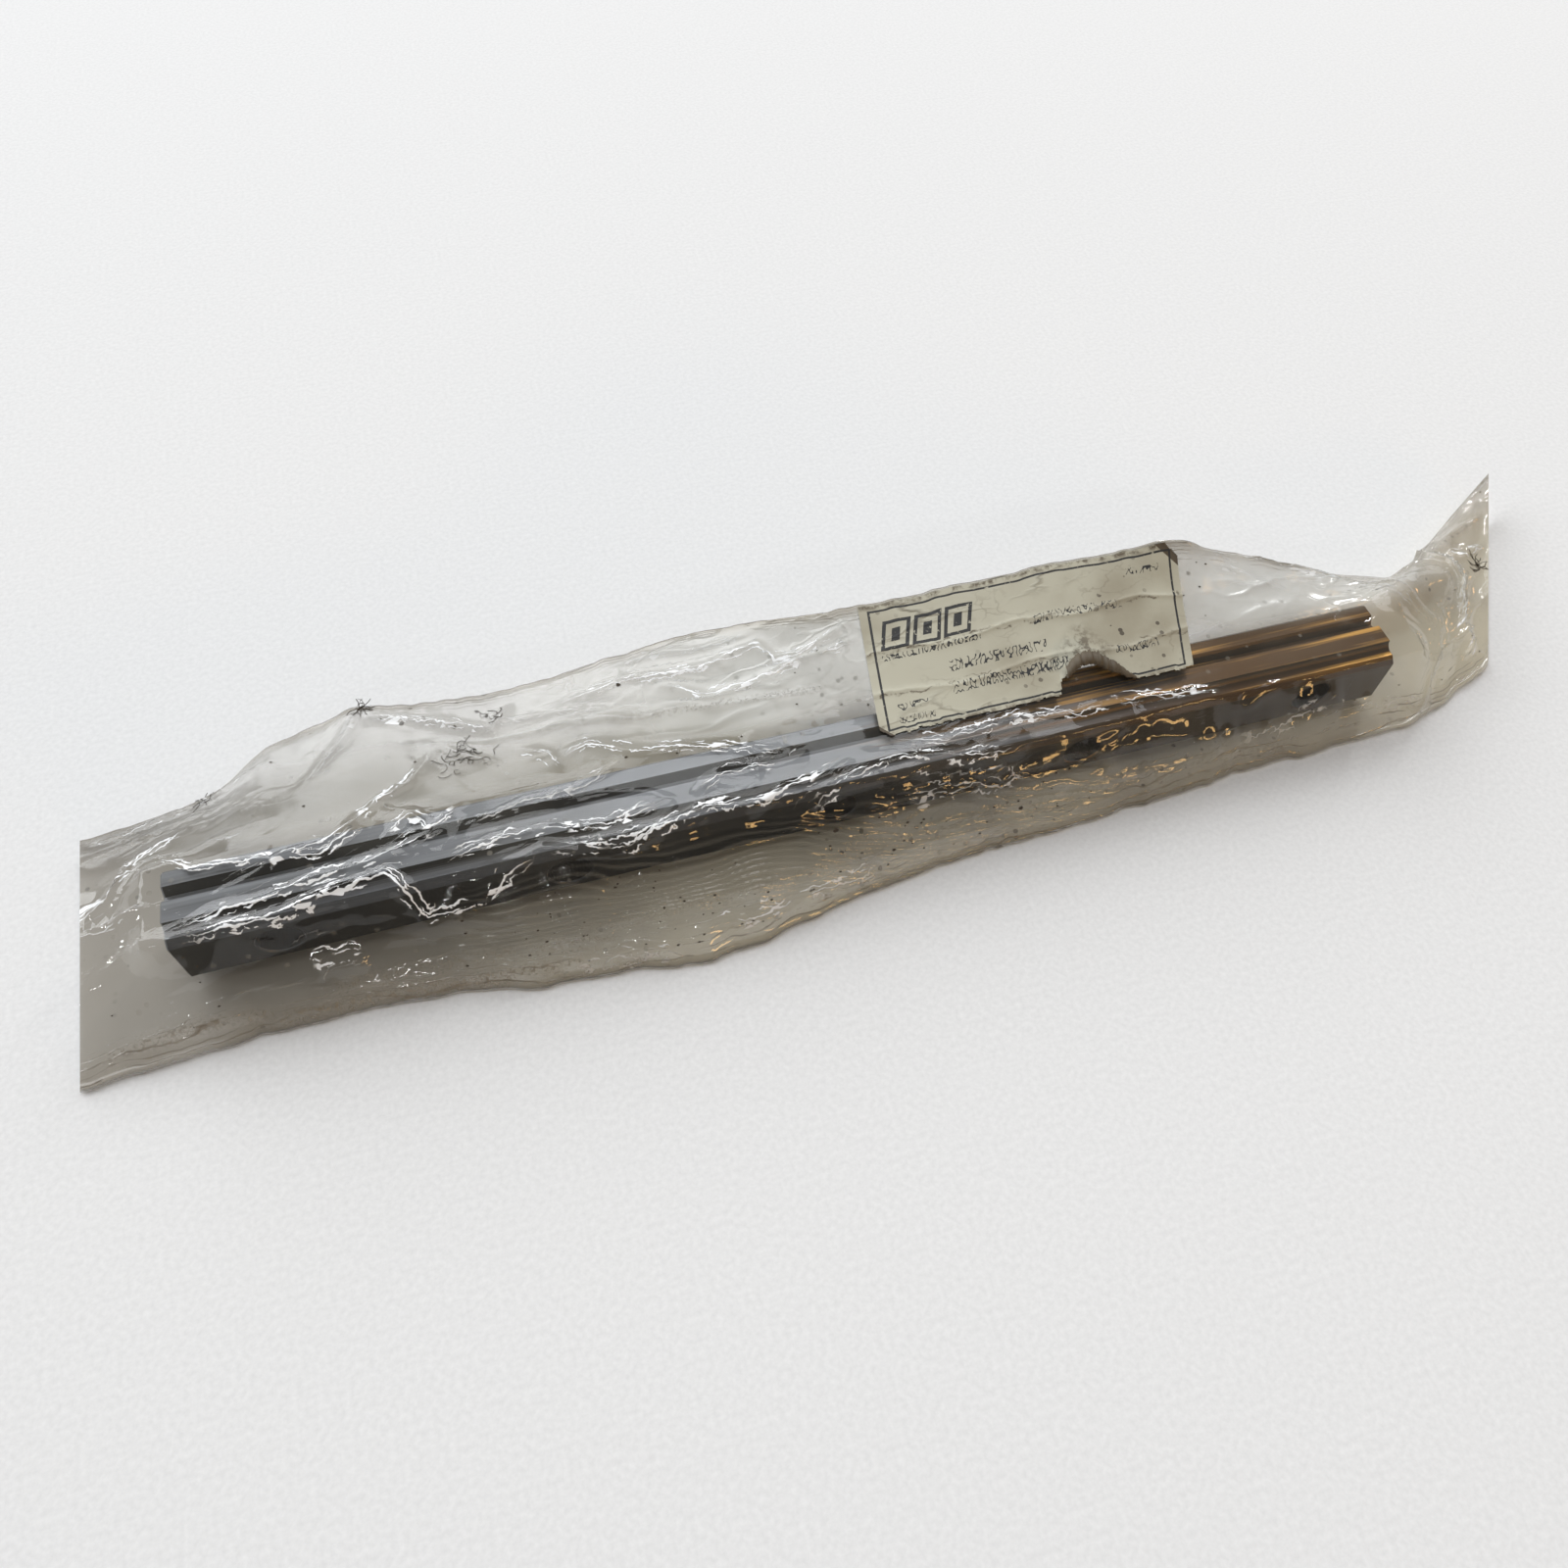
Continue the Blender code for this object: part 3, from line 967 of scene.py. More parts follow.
@dataclass
class FilmShape:
    """The bag's two layers as grids of points: along the bag, then from the near edge to the far crest."""

    rail_low: Vector
    rail_high: Vector
    rows: int = 560
    upper_columns: int = 140
    lower_columns: int = 36
    passes: int = 260
    clearance: float = 0.45
    slide_left: float = 3.0
    slide_right: float = 6.0
    mouth_x: float = -163.4
    mouth_skew: float = -0.0386
    mouth_lean: float = 0.41
    tail_x: float = 181.8
    tail_skew: float = 0.70
    tail_lean: float = -0.58
    stations: list[tuple[float, float, float, float, float]] = field(default_factory=lambda: [
        # x of the near edge, near y, crest y, crest z, how far the crest runs ahead in x
        (-162.4, -25.6, 32.0, 3.5, -1.8),
        (-147.0, -24.4, 33.0, 4.0, -0.5),
        (-136.0, -23.8, 33.5, 6.5, 0.0),
        (-129.0, -23.5, 36.0, 8.5, 0.0),
        (-121.5, -23.4, 41.5, 10.0, 0.0),
        (-101.0, -23.5, 45.5, 13.5, 0.0),
        (-88.0, -24.6, 42.5, 14.0, 0.0),
        (-72.0, -28.0, 40.5, 14.5, 0.0),
        (-54.0, -29.6, 41.0, 15.0, 0.0),
        (-32.0, -31.9, 43.5, 16.5, 0.0),
        (-19.0, -29.7, 43.0, 18.0, 0.0),
        (-5.0, -26.5, 39.5, 22.0, 0.0),
        (10.0, -24.2, 34.5, 26.5, 0.0),
        (30.0, -22.4, 32.5, 29.0, 0.0),
        (60.0, -21.0, 32.0, 30.5, 0.0),
        (92.0, -18.9, 31.0, 32.0, 0.0),
        (100.0, -18.4, 30.5, 30.5, 0.0),
        (106.0, -18.3, 30.5, 26.5, 0.0),
        (117.0, -18.0, 29.0, 22.5, 0.0),
        (130.0, -17.8, 26.5, 17.5, 0.0),
        (146.0, -17.0, 23.0, 13.0, 1.0),
        (153.0, -15.5, 21.5, 9.5, 8.0),
        (161.0, -12.3, 26.0, 8.0, 10.5),
        (168.0, -9.9, 35.0, 8.0, 17.0),
        (178.0, -5.6, 51.0, 7.5, 31.5),
    ])
    folds: list[Fold] = field(default_factory=lambda: [
        Fold([(-160, 4), (-153, 7), (-144, 15), (-138, 22)], 2.4, 2.0),
        Fold([(-160, 1), (-154, 0), (-147, 1), (-142, 0)], 1.2, glint=0.6),
        Fold([(-141, 12), (-134, 7), (-118, 5), (-107, 6), (-101, 10)], 0.9),
        Fold([(-137, -7), (-127, -5), (-112, -3), (-98, -1), (-84, 3)], 0.9, 1.2),
        Fold([(-137, -9), (-119, -9), (-104, -6), (-96, -5), (-90, -14), (-79, -13), (-65, -8)], 1.5, 1.6),
        Fold([(-114, -15), (-104, -16)], 1.3, 1.2),
        Fold([(-56, 32), (-39, 33), (-21, 31), (-8, 32), (-5, 27), (1, 26), (13, 30)], 1.2, 1.4),
        Fold([(-31, 29), (-22, 23), (-5, 24), (14, 25)], 0.9),
        Fold([(-57, 14), (-51, 17), (-43, 13), (-24, 8), (-9, 3)], 0.8),
        Fold([(-64, -8), (-47, -11), (-31, -7), (-17, -8), (-5, -6), (4, -3)], 1.2, 1.2),
        Fold([(-8, -11), (6, -7), (15, -5), (28, -9), (42, -9)], 1.1, 1.2, glint=0.8),
        Fold([(-36, -27), (-20, -26), (-7, -24), (6, -22)], 0.9, 1.2, glint=0.8),
        Fold([(-64, -26.5), (-52, -27.5), (-40, -29)], 0.6, 1.2, glint=0.7),
        Fold([(14, -13), (28, -13), (44, -14)], 0.6, 1.2, glint=0.45),
        Fold([(12, -1), (25, -4), (45, -3), (58, -5), (66, -4), (77, -5), (95, -7)], 0.6, 1.0, glint=0.7),
        Fold(
            [(72, -7.5), (84, -8.2), (94, -9), (109, -10.5), (124, -11.5)], 0.9, 1.1, glint=0.0, rounded=True
        ),
        Fold([(64, -11.5), (78, -12), (97, -13.5)], 1.0, 1.3, glint=0.0, rounded=True),
        Fold([(54, -18.5), (61, -18.6), (70, -18.2)], 0.8, 1.0, glint=0.0, rounded=True),
        Fold([(32, -20.6), (42, -20.6), (54, -20.2)], 0.8, 1.0, glint=0.0, rounded=True),
        Fold([(113, -13.6), (130, -15), (148, -16)], 0.8, 1.0, glint=0.0, rounded=True),
        Fold([(102, 31), (112, 30), (124, 27), (138, 20), (147, 13), (151, 7), (158, 1)], 2.0, 2.0, 0.3, 0.5),
        Fold([(152, -15), (152, -8), (154, -2)], 0.9, glint=0.4),
        Fold([(152, -15), (135, -14), (118, -13), (95, -15)], 0.5, glint=0.35),
        Fold([(148, 9), (160, 12), (172, 17)], 4.2, 4.4, glint=0.1, rounded=True),
        Fold([(172, 26), (176, 21), (177, 14), (173, 7), (168, 3)], 3.4, 1.2, glint=0.5),
        Fold([(148, -8), (160, -3), (176, 4), (187, 11)], 1.8, 1.6, glint=0.05),
        Fold([(163, 6), (157, 0), (152, -8), (146, -17)], 1.2, 1.2, glint=0.12),
        Fold([(166, 0), (171, 2), (174, -1), (170, -4)], 2.2, 1.2, glint=0.9),
        Fold([(180, 25), (184, 22), (191, 24)], 1.6, 1.6, 0.2, 0.9),
        Fold([(160, 23), (168, 28), (180, 33), (196, 42), (212, 50)], 1.0, 1.8, 1.0, 0.1),
        Fold([(165, 22), (178, 27), (195, 34)], 1.6, 2.0, 0.8, 0.2),
        Fold([(186, 8), (192, 20), (203, 34)], 1.6, 1.8, 0.3, 0.2),
        Fold([(-97, 40), (-83, 34), (-71, 28), (-67, 34)], 1.8, 1.5, 0.5, 0.8),
        Fold([(-99, 45), (-104, 33), (-112, 24)], 1.2, 1.8, 0.5, 0.3),
        Fold([(-162, 28), (-145, 29), (-131, 33), (-122, 36)], 1.2, 1.4, 0.8, 0.6),
        Fold([(-162, 23), (-148, 24), (-134, 27)], 0.9, 1.2, 0.7, 0.1),
        Fold([(-122, -21.5), (-100, -21.5), (-80, -24), (-62, -26)], 0.7, 1.2, 0.8, 0.15),
        Fold([(-110, -19), (-92, -19), (-76, -21), (-55, -23)], 0.4, 1.2, 0.6, 0.0),
        Fold([(-156, -21), (-140, -20), (-126, -20)], 0.6, 1.2, 0.7, 0.1),
        Fold([(-60, -21), (-40, -22), (-24, -22), (-6, -20)], 0.5, 1.2, 0.5, 0.1),
        Fold([(-58, 25), (-38, 22), (-18, 20), (2, 17)], 0.5, 1.2, 0.7, 0.1),
        Fold([(-82, 25), (-76, 21), (-70, 17)], 0.4, 1.2, 1.0, 0.1),
        Fold([(22, -17), (50, -16.5), (80, -16), (110, -16)], 0.5, 1.4, 0.4, 0.15),
        Fold([(-124, 1), (-116, 5), (-108, 3), (-100, 8)], 0.5, 1.0, glint=0.8),
        Fold([(-101, 9), (-96, 14), (-89, 17), (-84, 24)], 1.0, 1.2, glint=0.9),
        Fold([(-95, 4), (-90, 8), (-86, 4), (-80, 7)], 0.5, 1.0, glint=0.9),
        Fold([(-78, 2), (-66, 5), (-55, 5), (-46, 9)], 0.5, 1.0, glint=0.5),
        Fold([(-84, -5), (-74, -3), (-62, -3), (-50, -5), (-38, -3)], 0.6, 1.0, glint=0.8),
        Fold([(-57, 12), (-60, 17), (-66, 20)], 0.8, 1.2, glint=0.7),
        Fold([(-30, -2), (-24, 1), (-12, 0), (-4, 3)], 0.5, 1.0, glint=0.7),
        Fold([(-40, 40), (-24, 38), (-10, 36)], 0.7, 1.2, glint=0.35),
        Fold([(-72, 30), (-56, 29), (-46, 27)], 0.7, 1.2, glint=0.5),
        Fold([(-150, 12), (-139, 12), (-128, 14), (-118, 16)], 0.9, 1.4, glint=0.4),
        Fold([(-160, -8), (-150, -6), (-142, -8)], 0.8, 1.4, glint=0.2),
        Fold([(106, 26), (114, 22), (121, 16)], 0.5, 1.2, glint=0.3),
        Fold([(104, 20), (116, 19), (130, 20), (141, 17)], 0.6, 1.4, glint=0.15),
    ])

    upper: Array = field(init=False)
    lower: Array = field(init=False)
    masks: dict[str, Array] = field(init=False)

    def build(self) -> None:
        """Works out both layers as arrays of rows, columns and 3, and the masks for the upper one."""
        near, crest, lift = self._edges()
        x, y, z = self._taut_sheet(near, crest, lift)
        x, y, z = self._crumple(x, y, z)
        lower = self._lower_sheet(x, y, z, lift)
        upper = np.stack([x, y, z], -1)
        self.upper = self._cut_ends(self._clear_of_rail(upper))
        self.lower = self._cut_ends(lower)
        self.masks = self._masks(self.upper[..., 0], self.upper[..., 1])

    def _edges(self) -> tuple[Array, Array, Array]:
        """Spreads the stations over the rows and roughens both edges.

        Returns:
            The near edge's and the crest's plan points at each row, and the crest's height.
        """
        table = np.array(self.stations)
        steps = np.hypot(np.diff(table[:, 0] + table[:, 4] / 2), 0.5 * np.diff(table[:, 2]))
        at = np.concatenate([[0], np.cumsum(steps)])
        rows = np.linspace(0, at[-1], self.rows)
        columns = [np.interp(rows, at, table[:, k]) for k in range(5)]
        spread = 4
        kernel = np.hanning(2 * spread + 1)
        kernel /= kernel.sum()
        padded = [np.pad(column, spread, mode="reflect", reflect_type="odd") for column in columns]
        x, near_y, crest_y, lift, ahead = [np.convolve(column, kernel, "valid") for column in padded]
        flat = np.zeros_like(x)
        near_y = near_y + 0.5 * lattice_noise(x, flat, 7.0, 1.0, SEED)
        near_y = near_y + 0.25 * lattice_noise(x, flat, 2.5, 1.0, SEED + 1)
        crest_y = crest_y + 0.5 * lattice_noise(x, flat, 8.0, 1.0, SEED + 2)
        crest_y = crest_y + 0.2 * lattice_noise(x, flat, 2.5, 1.0, SEED + 3)
        return np.stack([x, near_y], -1), np.stack([x + ahead, crest_y], -1), lift

    def _taut_sheet(self, near: Array, crest: Array, lift: Array) -> tuple[Array, ...]:
        """A sheet pulled tight over the rail between the near edge and the crest, by relaxation.

        Args:
            near, crest: both edges' plan points. lift: the crest's height at each row.

        Returns:
            The sheet's x, y and z.
        """
        z = None
        for divide in (8, 4, 2, 1):
            rows = max(self.rows // divide, 8)
            columns = max(self.upper_columns // divide, 8)
            share = np.linspace(0, 1, columns)[None, :]
            take = np.linspace(0, self.rows - 1, rows)
            pick = [
                np.interp(take, np.arange(self.rows), side[:, k]) for side in (near, crest) for k in (0, 1)
            ]
            x = pick[0][:, None] * (1 - share) + pick[2][:, None] * share
            y = pick[1][:, None] * (1 - share) + pick[3][:, None] * share
            top = np.interp(take, np.arange(self.rows), lift)
            floor = self._support(x, y)
            if z is None:
                z = np.maximum(floor, EDGE_HEIGHT + (top[:, None] - EDGE_HEIGHT) * share)
            else:
                z = self._resample(z, rows, columns)
            for _ in range(self.passes):
                z[:, 0], z[:, -1] = EDGE_HEIGHT, top
                z[0], z[-1] = z[1], z[-2]
                beside, before = z[:-2, 1:-1] + z[2:, 1:-1], z[1:-1, :-2] + z[1:-1, 2:]
                inner = 0.13 * beside + 0.25 * before + 0.24 * z[1:-1, 1:-1]
                z[1:-1, 1:-1] = np.maximum(inner, floor[1:-1, 1:-1])
        z[:, 0], z[:, -1] = EDGE_HEIGHT, top
        return x, y, z

    @staticmethod
    def _resample(values: Array, rows: int, columns: int) -> Array:
        """The same grid with another number of rows and columns.

        Args:
            values: the old grid. rows, columns: the new numbers.

        Returns:
            The new grid.
        """
        r = np.linspace(0, values.shape[0] - 1, rows)
        c = np.linspace(0, values.shape[1] - 1, columns)
        along = np.stack([np.interp(r, np.arange(values.shape[0]), column) for column in values.T], 1)
        return np.stack([np.interp(c, np.arange(values.shape[1]), row) for row in along])

    def _support(self, x: Array, y: Array) -> Array:
        """The lowest height that the upper layer may have: the rail's top, air in the tail, or the table.

        Args:
            x, y: the points in millimetres.

        Returns:
            The heights.
        """
        low, high = self.rail_low / MM, self.rail_high / MM
        inside = (x > low.x - self.slide_left - 0.4) & (x < high.x + self.slide_right + 0.4)
        inside &= (y > low.y - self.clearance) & (y < high.y + self.clearance)
        height = np.where(inside, high.z + self.clearance, 0.6)
        # Trapped air holds up the tail and the far side beside the rail's end.
        puff = 13.0 * np.exp(-(((x - 164) / 15) ** 2) - (((y - 6) / 11) ** 2))
        tail = 11.0 * np.exp(-(((x - 186) / 14) ** 2) - (((y - 24) / 10) ** 2))
        return np.maximum(height, np.maximum(puff, tail))

    def _crumple(self, x: Array, y: Array, z: Array) -> tuple[Array, ...]:
        """Pushes creases, ripples and soft waves out along the sheet's normals.

        Args:
            x, y, z: the taut sheet.

        Returns:
            The moved x, y and z.
        """
        points = np.stack([x, y, z], -1)
        normal = sheet_normals(points)
        w = np.cumsum(np.linalg.norm(np.gradient(points, axis=1), axis=-1), axis=1)
        w -= w[:, [self.upper_columns // 3]]
        slack = self._slack(x, y)
        push = self._random_creases(x, w, slack) + self._contour_creases(x, w, slack)
        push += self._soft_waves(x, w) * slack + self._foot_ripples(x, y)
        wander_x = x + 1.1 * lattice_noise(x, w, 9.0, 9.0, SEED + 30)
        wander_y = y + 1.1 * lattice_noise(x, w, 9.0, 9.0, SEED + 31)
        for fold in self.folds:
            far, place, _ = distance_to_path(wander_x, wander_y, fold.path)
            fade = np.sin(np.pi * np.clip(0.08 + 0.84 * place, 0, 1)) ** 0.5
            away = far / fold.width
            push += fold.height * fade * np.exp(-(away**2) if fold.rounded else -away)
        rim = smoothstep(0.0, 0.045, np.linspace(0, 1, self.upper_columns))
        rim = np.minimum(rim, rim[::-1])[None, :]
        moved = points + normal * (push * rim)[..., None]
        return moved[..., 0], moved[..., 1], np.maximum(moved[..., 2], 0.45)

    @staticmethod
    def _drawn_tight(x: Array, y: Array) -> Array:
        """1 on the near slope's right half, where the film is drawn tight along the rail, and 0 elsewhere."""
        return smoothstep(30, 70, x) * (1 - smoothstep(146, 154, x)) * (1 - smoothstep(0, 6, y))

    def _slack(self, x: Array, y: Array) -> Array:
        """How loose the film is: tight under the label and over the rail, loose elsewhere.

        Args:
            x, y: the points in millimetres.

        Returns:
            A factor for each point.
        """
        label = smoothstep(4, 12, x) * (1 - smoothstep(96, 104, x)) * smoothstep(-3, 3, y)
        over_rail = smoothstep(-11, -6, y) * (1 - smoothstep(8, 12, y))
        behind = smoothstep(10, 16, y) * (1 - smoothstep(100, 140, x))
        drawn = self._drawn_tight(x, y)
        return (1.0 - 0.85 * label) * (1.0 - 0.35 * over_rail) * (1.0 - 0.45 * behind) * (1.0 - 0.6 * drawn)

    def _random_creases(self, x: Array, w: Array, slack: Array) -> Array:
        """Short straight ridges and valleys scattered over the sheet.

        Args:
            x, w: how far along and across the sheet each point lies. slack: how loose the film is there.

        Returns:
            How far each point is pushed out.
        """
        rng = np.random.default_rng(SEED + 4)
        total = np.zeros_like(x)
        for _ in range(230):
            centre = rng.uniform(x.min(), x.max()), rng.uniform(w.min(), w.max())
            angle = rng.normal(0.0, 0.45) if rng.random() < 0.7 else rng.uniform(-1.5, 1.5)
            half = rng.uniform(5, 26)
            sharp = rng.uniform(1.2, 4.0)
            height = rng.uniform(0.12, 0.55) * rng.choice([-1.0, 1.0], p=[0.35, 0.65])
            dx, dw = x - centre[0], w - centre[1]
            run = dx * math.cos(angle) + dw * math.sin(angle)
            off = dw * math.cos(angle) - dx * math.sin(angle) + 0.0015 * rng.normal(0, 3) * run**2
            close = (np.abs(run) < half) & (np.abs(off) < 5 * sharp)
            taper = (1 - (run[close] / half) ** 2) ** 2
            total[close] += height * taper * np.exp(-np.abs(off[close]) / sharp)
        return total * slack

    def _contour_creases(self, x: Array, w: Array, slack: Array) -> Array:
        """Long wandering ridges, along the zero lines of smooth noise.

        Args:
            x, w: how far along and across the sheet each point lies. slack: how loose the film is there.

        Returns:
            How far each point is pushed out.
        """
        total = np.zeros_like(x)
        for cell_x, cell_w, height, sharp, seed in (
            (34, 15, 0.55, 0.9, 11), (18, 9, 0.3, 0.7, 12), (50, 12, 0.5, 0.8, 13)
        ):
            noise = lattice_noise(x, w, cell_x, cell_w, SEED + seed)
            noise += 0.25 * lattice_noise(x, w, cell_x / 4, cell_w / 4, SEED + seed + 40)
            rise = np.hypot(np.gradient(noise, axis=0), np.gradient(noise, axis=1)) / 0.62 + 0.01
            patchy = smoothstep(-0.1, 0.5, lattice_noise(x, w, 30, 14, SEED + seed + 80))
            total += height * patchy * np.exp(-np.abs(noise) / rise / sharp)
        return total * slack

    @staticmethod
    def _soft_waves(x: Array, w: Array) -> Array:
        """Broad shallow waves."""
        return 0.7 * lattice_noise(x, w, 26, 12, SEED + 21) + 0.22 * lattice_noise(x, w, 11, 6, SEED + 22)

    @staticmethod
    def _foot_ripples(x: Array, y: Array) -> Array:
        """Fine gathers at the foot of the near slope.

        Args:
            x, y: the points in millimetres.

        Returns:
            How far each point is pushed out.
        """
        band = smoothstep(-25, -21, y) * (1 - smoothstep(-16, -12, y))
        band = band * smoothstep(-85, -60, x) * (1 - smoothstep(40, 70, x))
        return 0.10 * band * np.sin(2 * np.pi * (x + 0.35 * y) / 1.9)

    def _lower_sheet(self, x: Array, y: Array, z: Array, lift: Array) -> Array:
        """The layer below the rail: flat on the table, then up to the crest behind the rail.

        Args:
            x, y, z: the upper layer. lift: the crest's height at each row.

        Returns:
            The lower layer's points.
        """
        share = 1 - (1 - np.linspace(0, 1, self.lower_columns + 2)[None, 1:-1]) ** 1.4
        points = np.stack([x, y, z], -1)
        edge, crest = points[:, [0]], points[:, [-1]]
        layer = edge * (1 - share[..., None]) + crest * share[..., None]
        high = self.rail_high / MM
        start = np.maximum(high.y + 1.5, crest[..., 1] - 1.25 * lift[:, None] - 3.0)
        climb = np.clip((layer[..., 1] - start) / (crest[..., 1] - start), 0, 1)
        wave = 0.5 * lattice_noise(layer[..., 0], layer[..., 1], 16, 9, SEED + 50) * climb
        flat = 0.12 + 0.08 * lattice_noise(layer[..., 0], layer[..., 1], 8, 8, SEED + 51)
        layer[..., 2] = flat + (crest[..., 2] - flat) * climb**1.25 + wave * (1 - climb) * 2
        across = layer[..., 1] + layer[..., 2]
        for cell_x, cell_w, height, sharp, seed in ((26, 8, 1.1, 0.14, 52), (12, 5, 0.6, 0.18, 53)):
            ridge = np.exp(-np.abs(lattice_noise(layer[..., 0], across, cell_x, cell_w, SEED + seed)) / sharp)
            layer[..., 1] += height * ridge * np.sin(np.pi * climb)
        return layer

    def _clear_of_rail(self, points: Array) -> Array:
        """Pushes any point that is inside the rail's path out to the nearest face of it.

        Args:
            points: a layer's points, which are changed.

        Returns:
            The same points.
        """
        low, high = self.rail_low / MM, self.rail_high / MM
        gap = self.clearance
        x, y, z = (points[..., k] for k in range(3))
        inside = (x > low.x - self.slide_left) & (x < high.x + self.slide_right)
        inside &= (y > low.y - gap) & (y < high.y + gap) & (z < high.z + gap)
        up, front, back = high.z + gap - z, y - low.y + gap, high.y + gap - y
        to_top = inside & (up <= np.minimum(front, back))
        to_front = inside & ~to_top & (front < back)
        to_back = inside & ~to_top & ~to_front
        points[..., 2] = np.where(to_top, high.z + gap, z)
        points[..., 1] = np.where(to_front, low.y - gap, np.where(to_back, high.y + gap, y))
        return points

    def _cut_ends(self, points: Array) -> Array:
        """Trims the mouth and the tail along straight cuts that lean with the film's height.

        Args:
            points: a layer's points, which are changed.

        Returns:
            The same points.
        """
        x, y, z = (points[..., k] for k in range(3))
        start = self.mouth_x + self.mouth_skew * y + self.mouth_lean * z
        end = self.tail_x + self.tail_skew * y + self.tail_lean * z
        at_mouth = 1 - smoothstep(0, 0.055, np.linspace(0, 1, self.rows))[:, None]
        at_tail = smoothstep(0.90, 1.0, np.linspace(0, 1, self.rows))[:, None]
        x = x + (start[[0]] - x[[0]]) * at_mouth
        points[..., 0] = x + (end[[-1]] - x[[-1]]) * at_tail
        return points

    def _masks(self, x: Array, y: Array) -> dict[str, Array]:
        """What the film's material needs to know at each point of the upper layer.

        Args:
            x, y: the points in millimetres.

        Returns:
            Each mask under its attribute's name.
        """
        away, side = np.full(x.shape, FAR_AWAY), np.full(x.shape, FAR_AWAY)
        glint, dirt = np.zeros(x.shape), np.zeros(x.shape)
        for fold in self.folds:
            far, place, turn = distance_to_path(x, y, fold.path)
            nearer = far < away
            away = np.where(nearer, far, away)
            side = np.where(nearer, far * turn, side)
            taper = np.clip(np.minimum(place, 1 - place) * 8, 0, 1)
            glint = np.where(nearer, fold.glint * taper, glint)
            dirt = np.where(nearer, fold.dirt, dirt)
        gather = smoothstep(-27, -22, y) * (1 - smoothstep(-14, -10, y))
        gather = gather * smoothstep(-95, -70, x) * (1 - smoothstep(50, 90, x))
        edge = np.minimum(np.abs(y - y[:, [0]]), np.abs(y - y[:, [-1]]) * 1.4 + 0.5)
        streak = self._drawn_tight(x, y)
        foot = 8 - 3 * smoothstep(95, 105, x)
        # the far slope: where the upper film gets a whiter haze, partly dust and partly painted sheen
        behind = smoothstep(0, 5, y - foot) * (1 - 0.45 * smoothstep(135, 152, x)) * smoothstep(-165, -100, x)
        behind = behind * (0.50 + 0.50 * smoothstep(-70, 0, x))
        dull = smoothstep(0, 6, y - foot) * (1 - 0.7 * smoothstep(120, 145, x))
        return {
            "film_dull": dull, "fold_side": side, "fold_away": away, "fold_glint": glint, "fold_dirt": dirt,
            "film_gather": gather, "film_far_dust_and_sheen": behind, "film_streak": streak, "film_edge": edge,
        }


@dataclass
class PolyBag:
    """The clear tube bag as one sheet of film, folded along its near edge and its far crest."""

    shape: FilmShape
    upper_finish: bpy.types.Material
    lower_finish: bpy.types.Material

    def build(self) -> bpy.types.Object:
        """Makes the mesh from the two layers' points, row by row.

        Returns:
            The bag.
        """
        upper, lower = self.shape.upper, self.shape.lower[:, ::-1]
        ring = np.concatenate([upper, lower], axis=1)
        rows, around = ring.shape[:2]
        index = np.arange(rows * around).reshape(rows, around)
        after = np.roll(index, -1, axis=1)
        faces = np.stack([index[:-1], index[1:], after[1:], after[:-1]], -1).reshape(-1, 4)
        points = (ring.reshape(-1, 3) * MM).tolist()
        mesh = new_mesh("clear_bag", points, faces.tolist(), self.upper_finish, self.lower_finish)
        columns = np.tile(np.arange(around), rows - 1)
        slots = np.where(columns < self.shape.upper_columns - 1, Surface.UPPER.value, Surface.LOWER.value)
        mesh.polygons.foreach_set("material_index", slots.astype(np.int32))
        for name, mask in self.shape.masks.items():
            elsewhere = FAR_AWAY if name in ("fold_side", "fold_away", "film_edge") else 0.0
            values = np.full((rows, around), elsewhere, np.float32)
            values[:, : self.shape.upper_columns] = mask
            mesh.attributes.new(name, "FLOAT", "POINT").data.foreach_set("value", values.ravel())
        mesh.shade_smooth()
        return new_object("clear_bag", mesh)


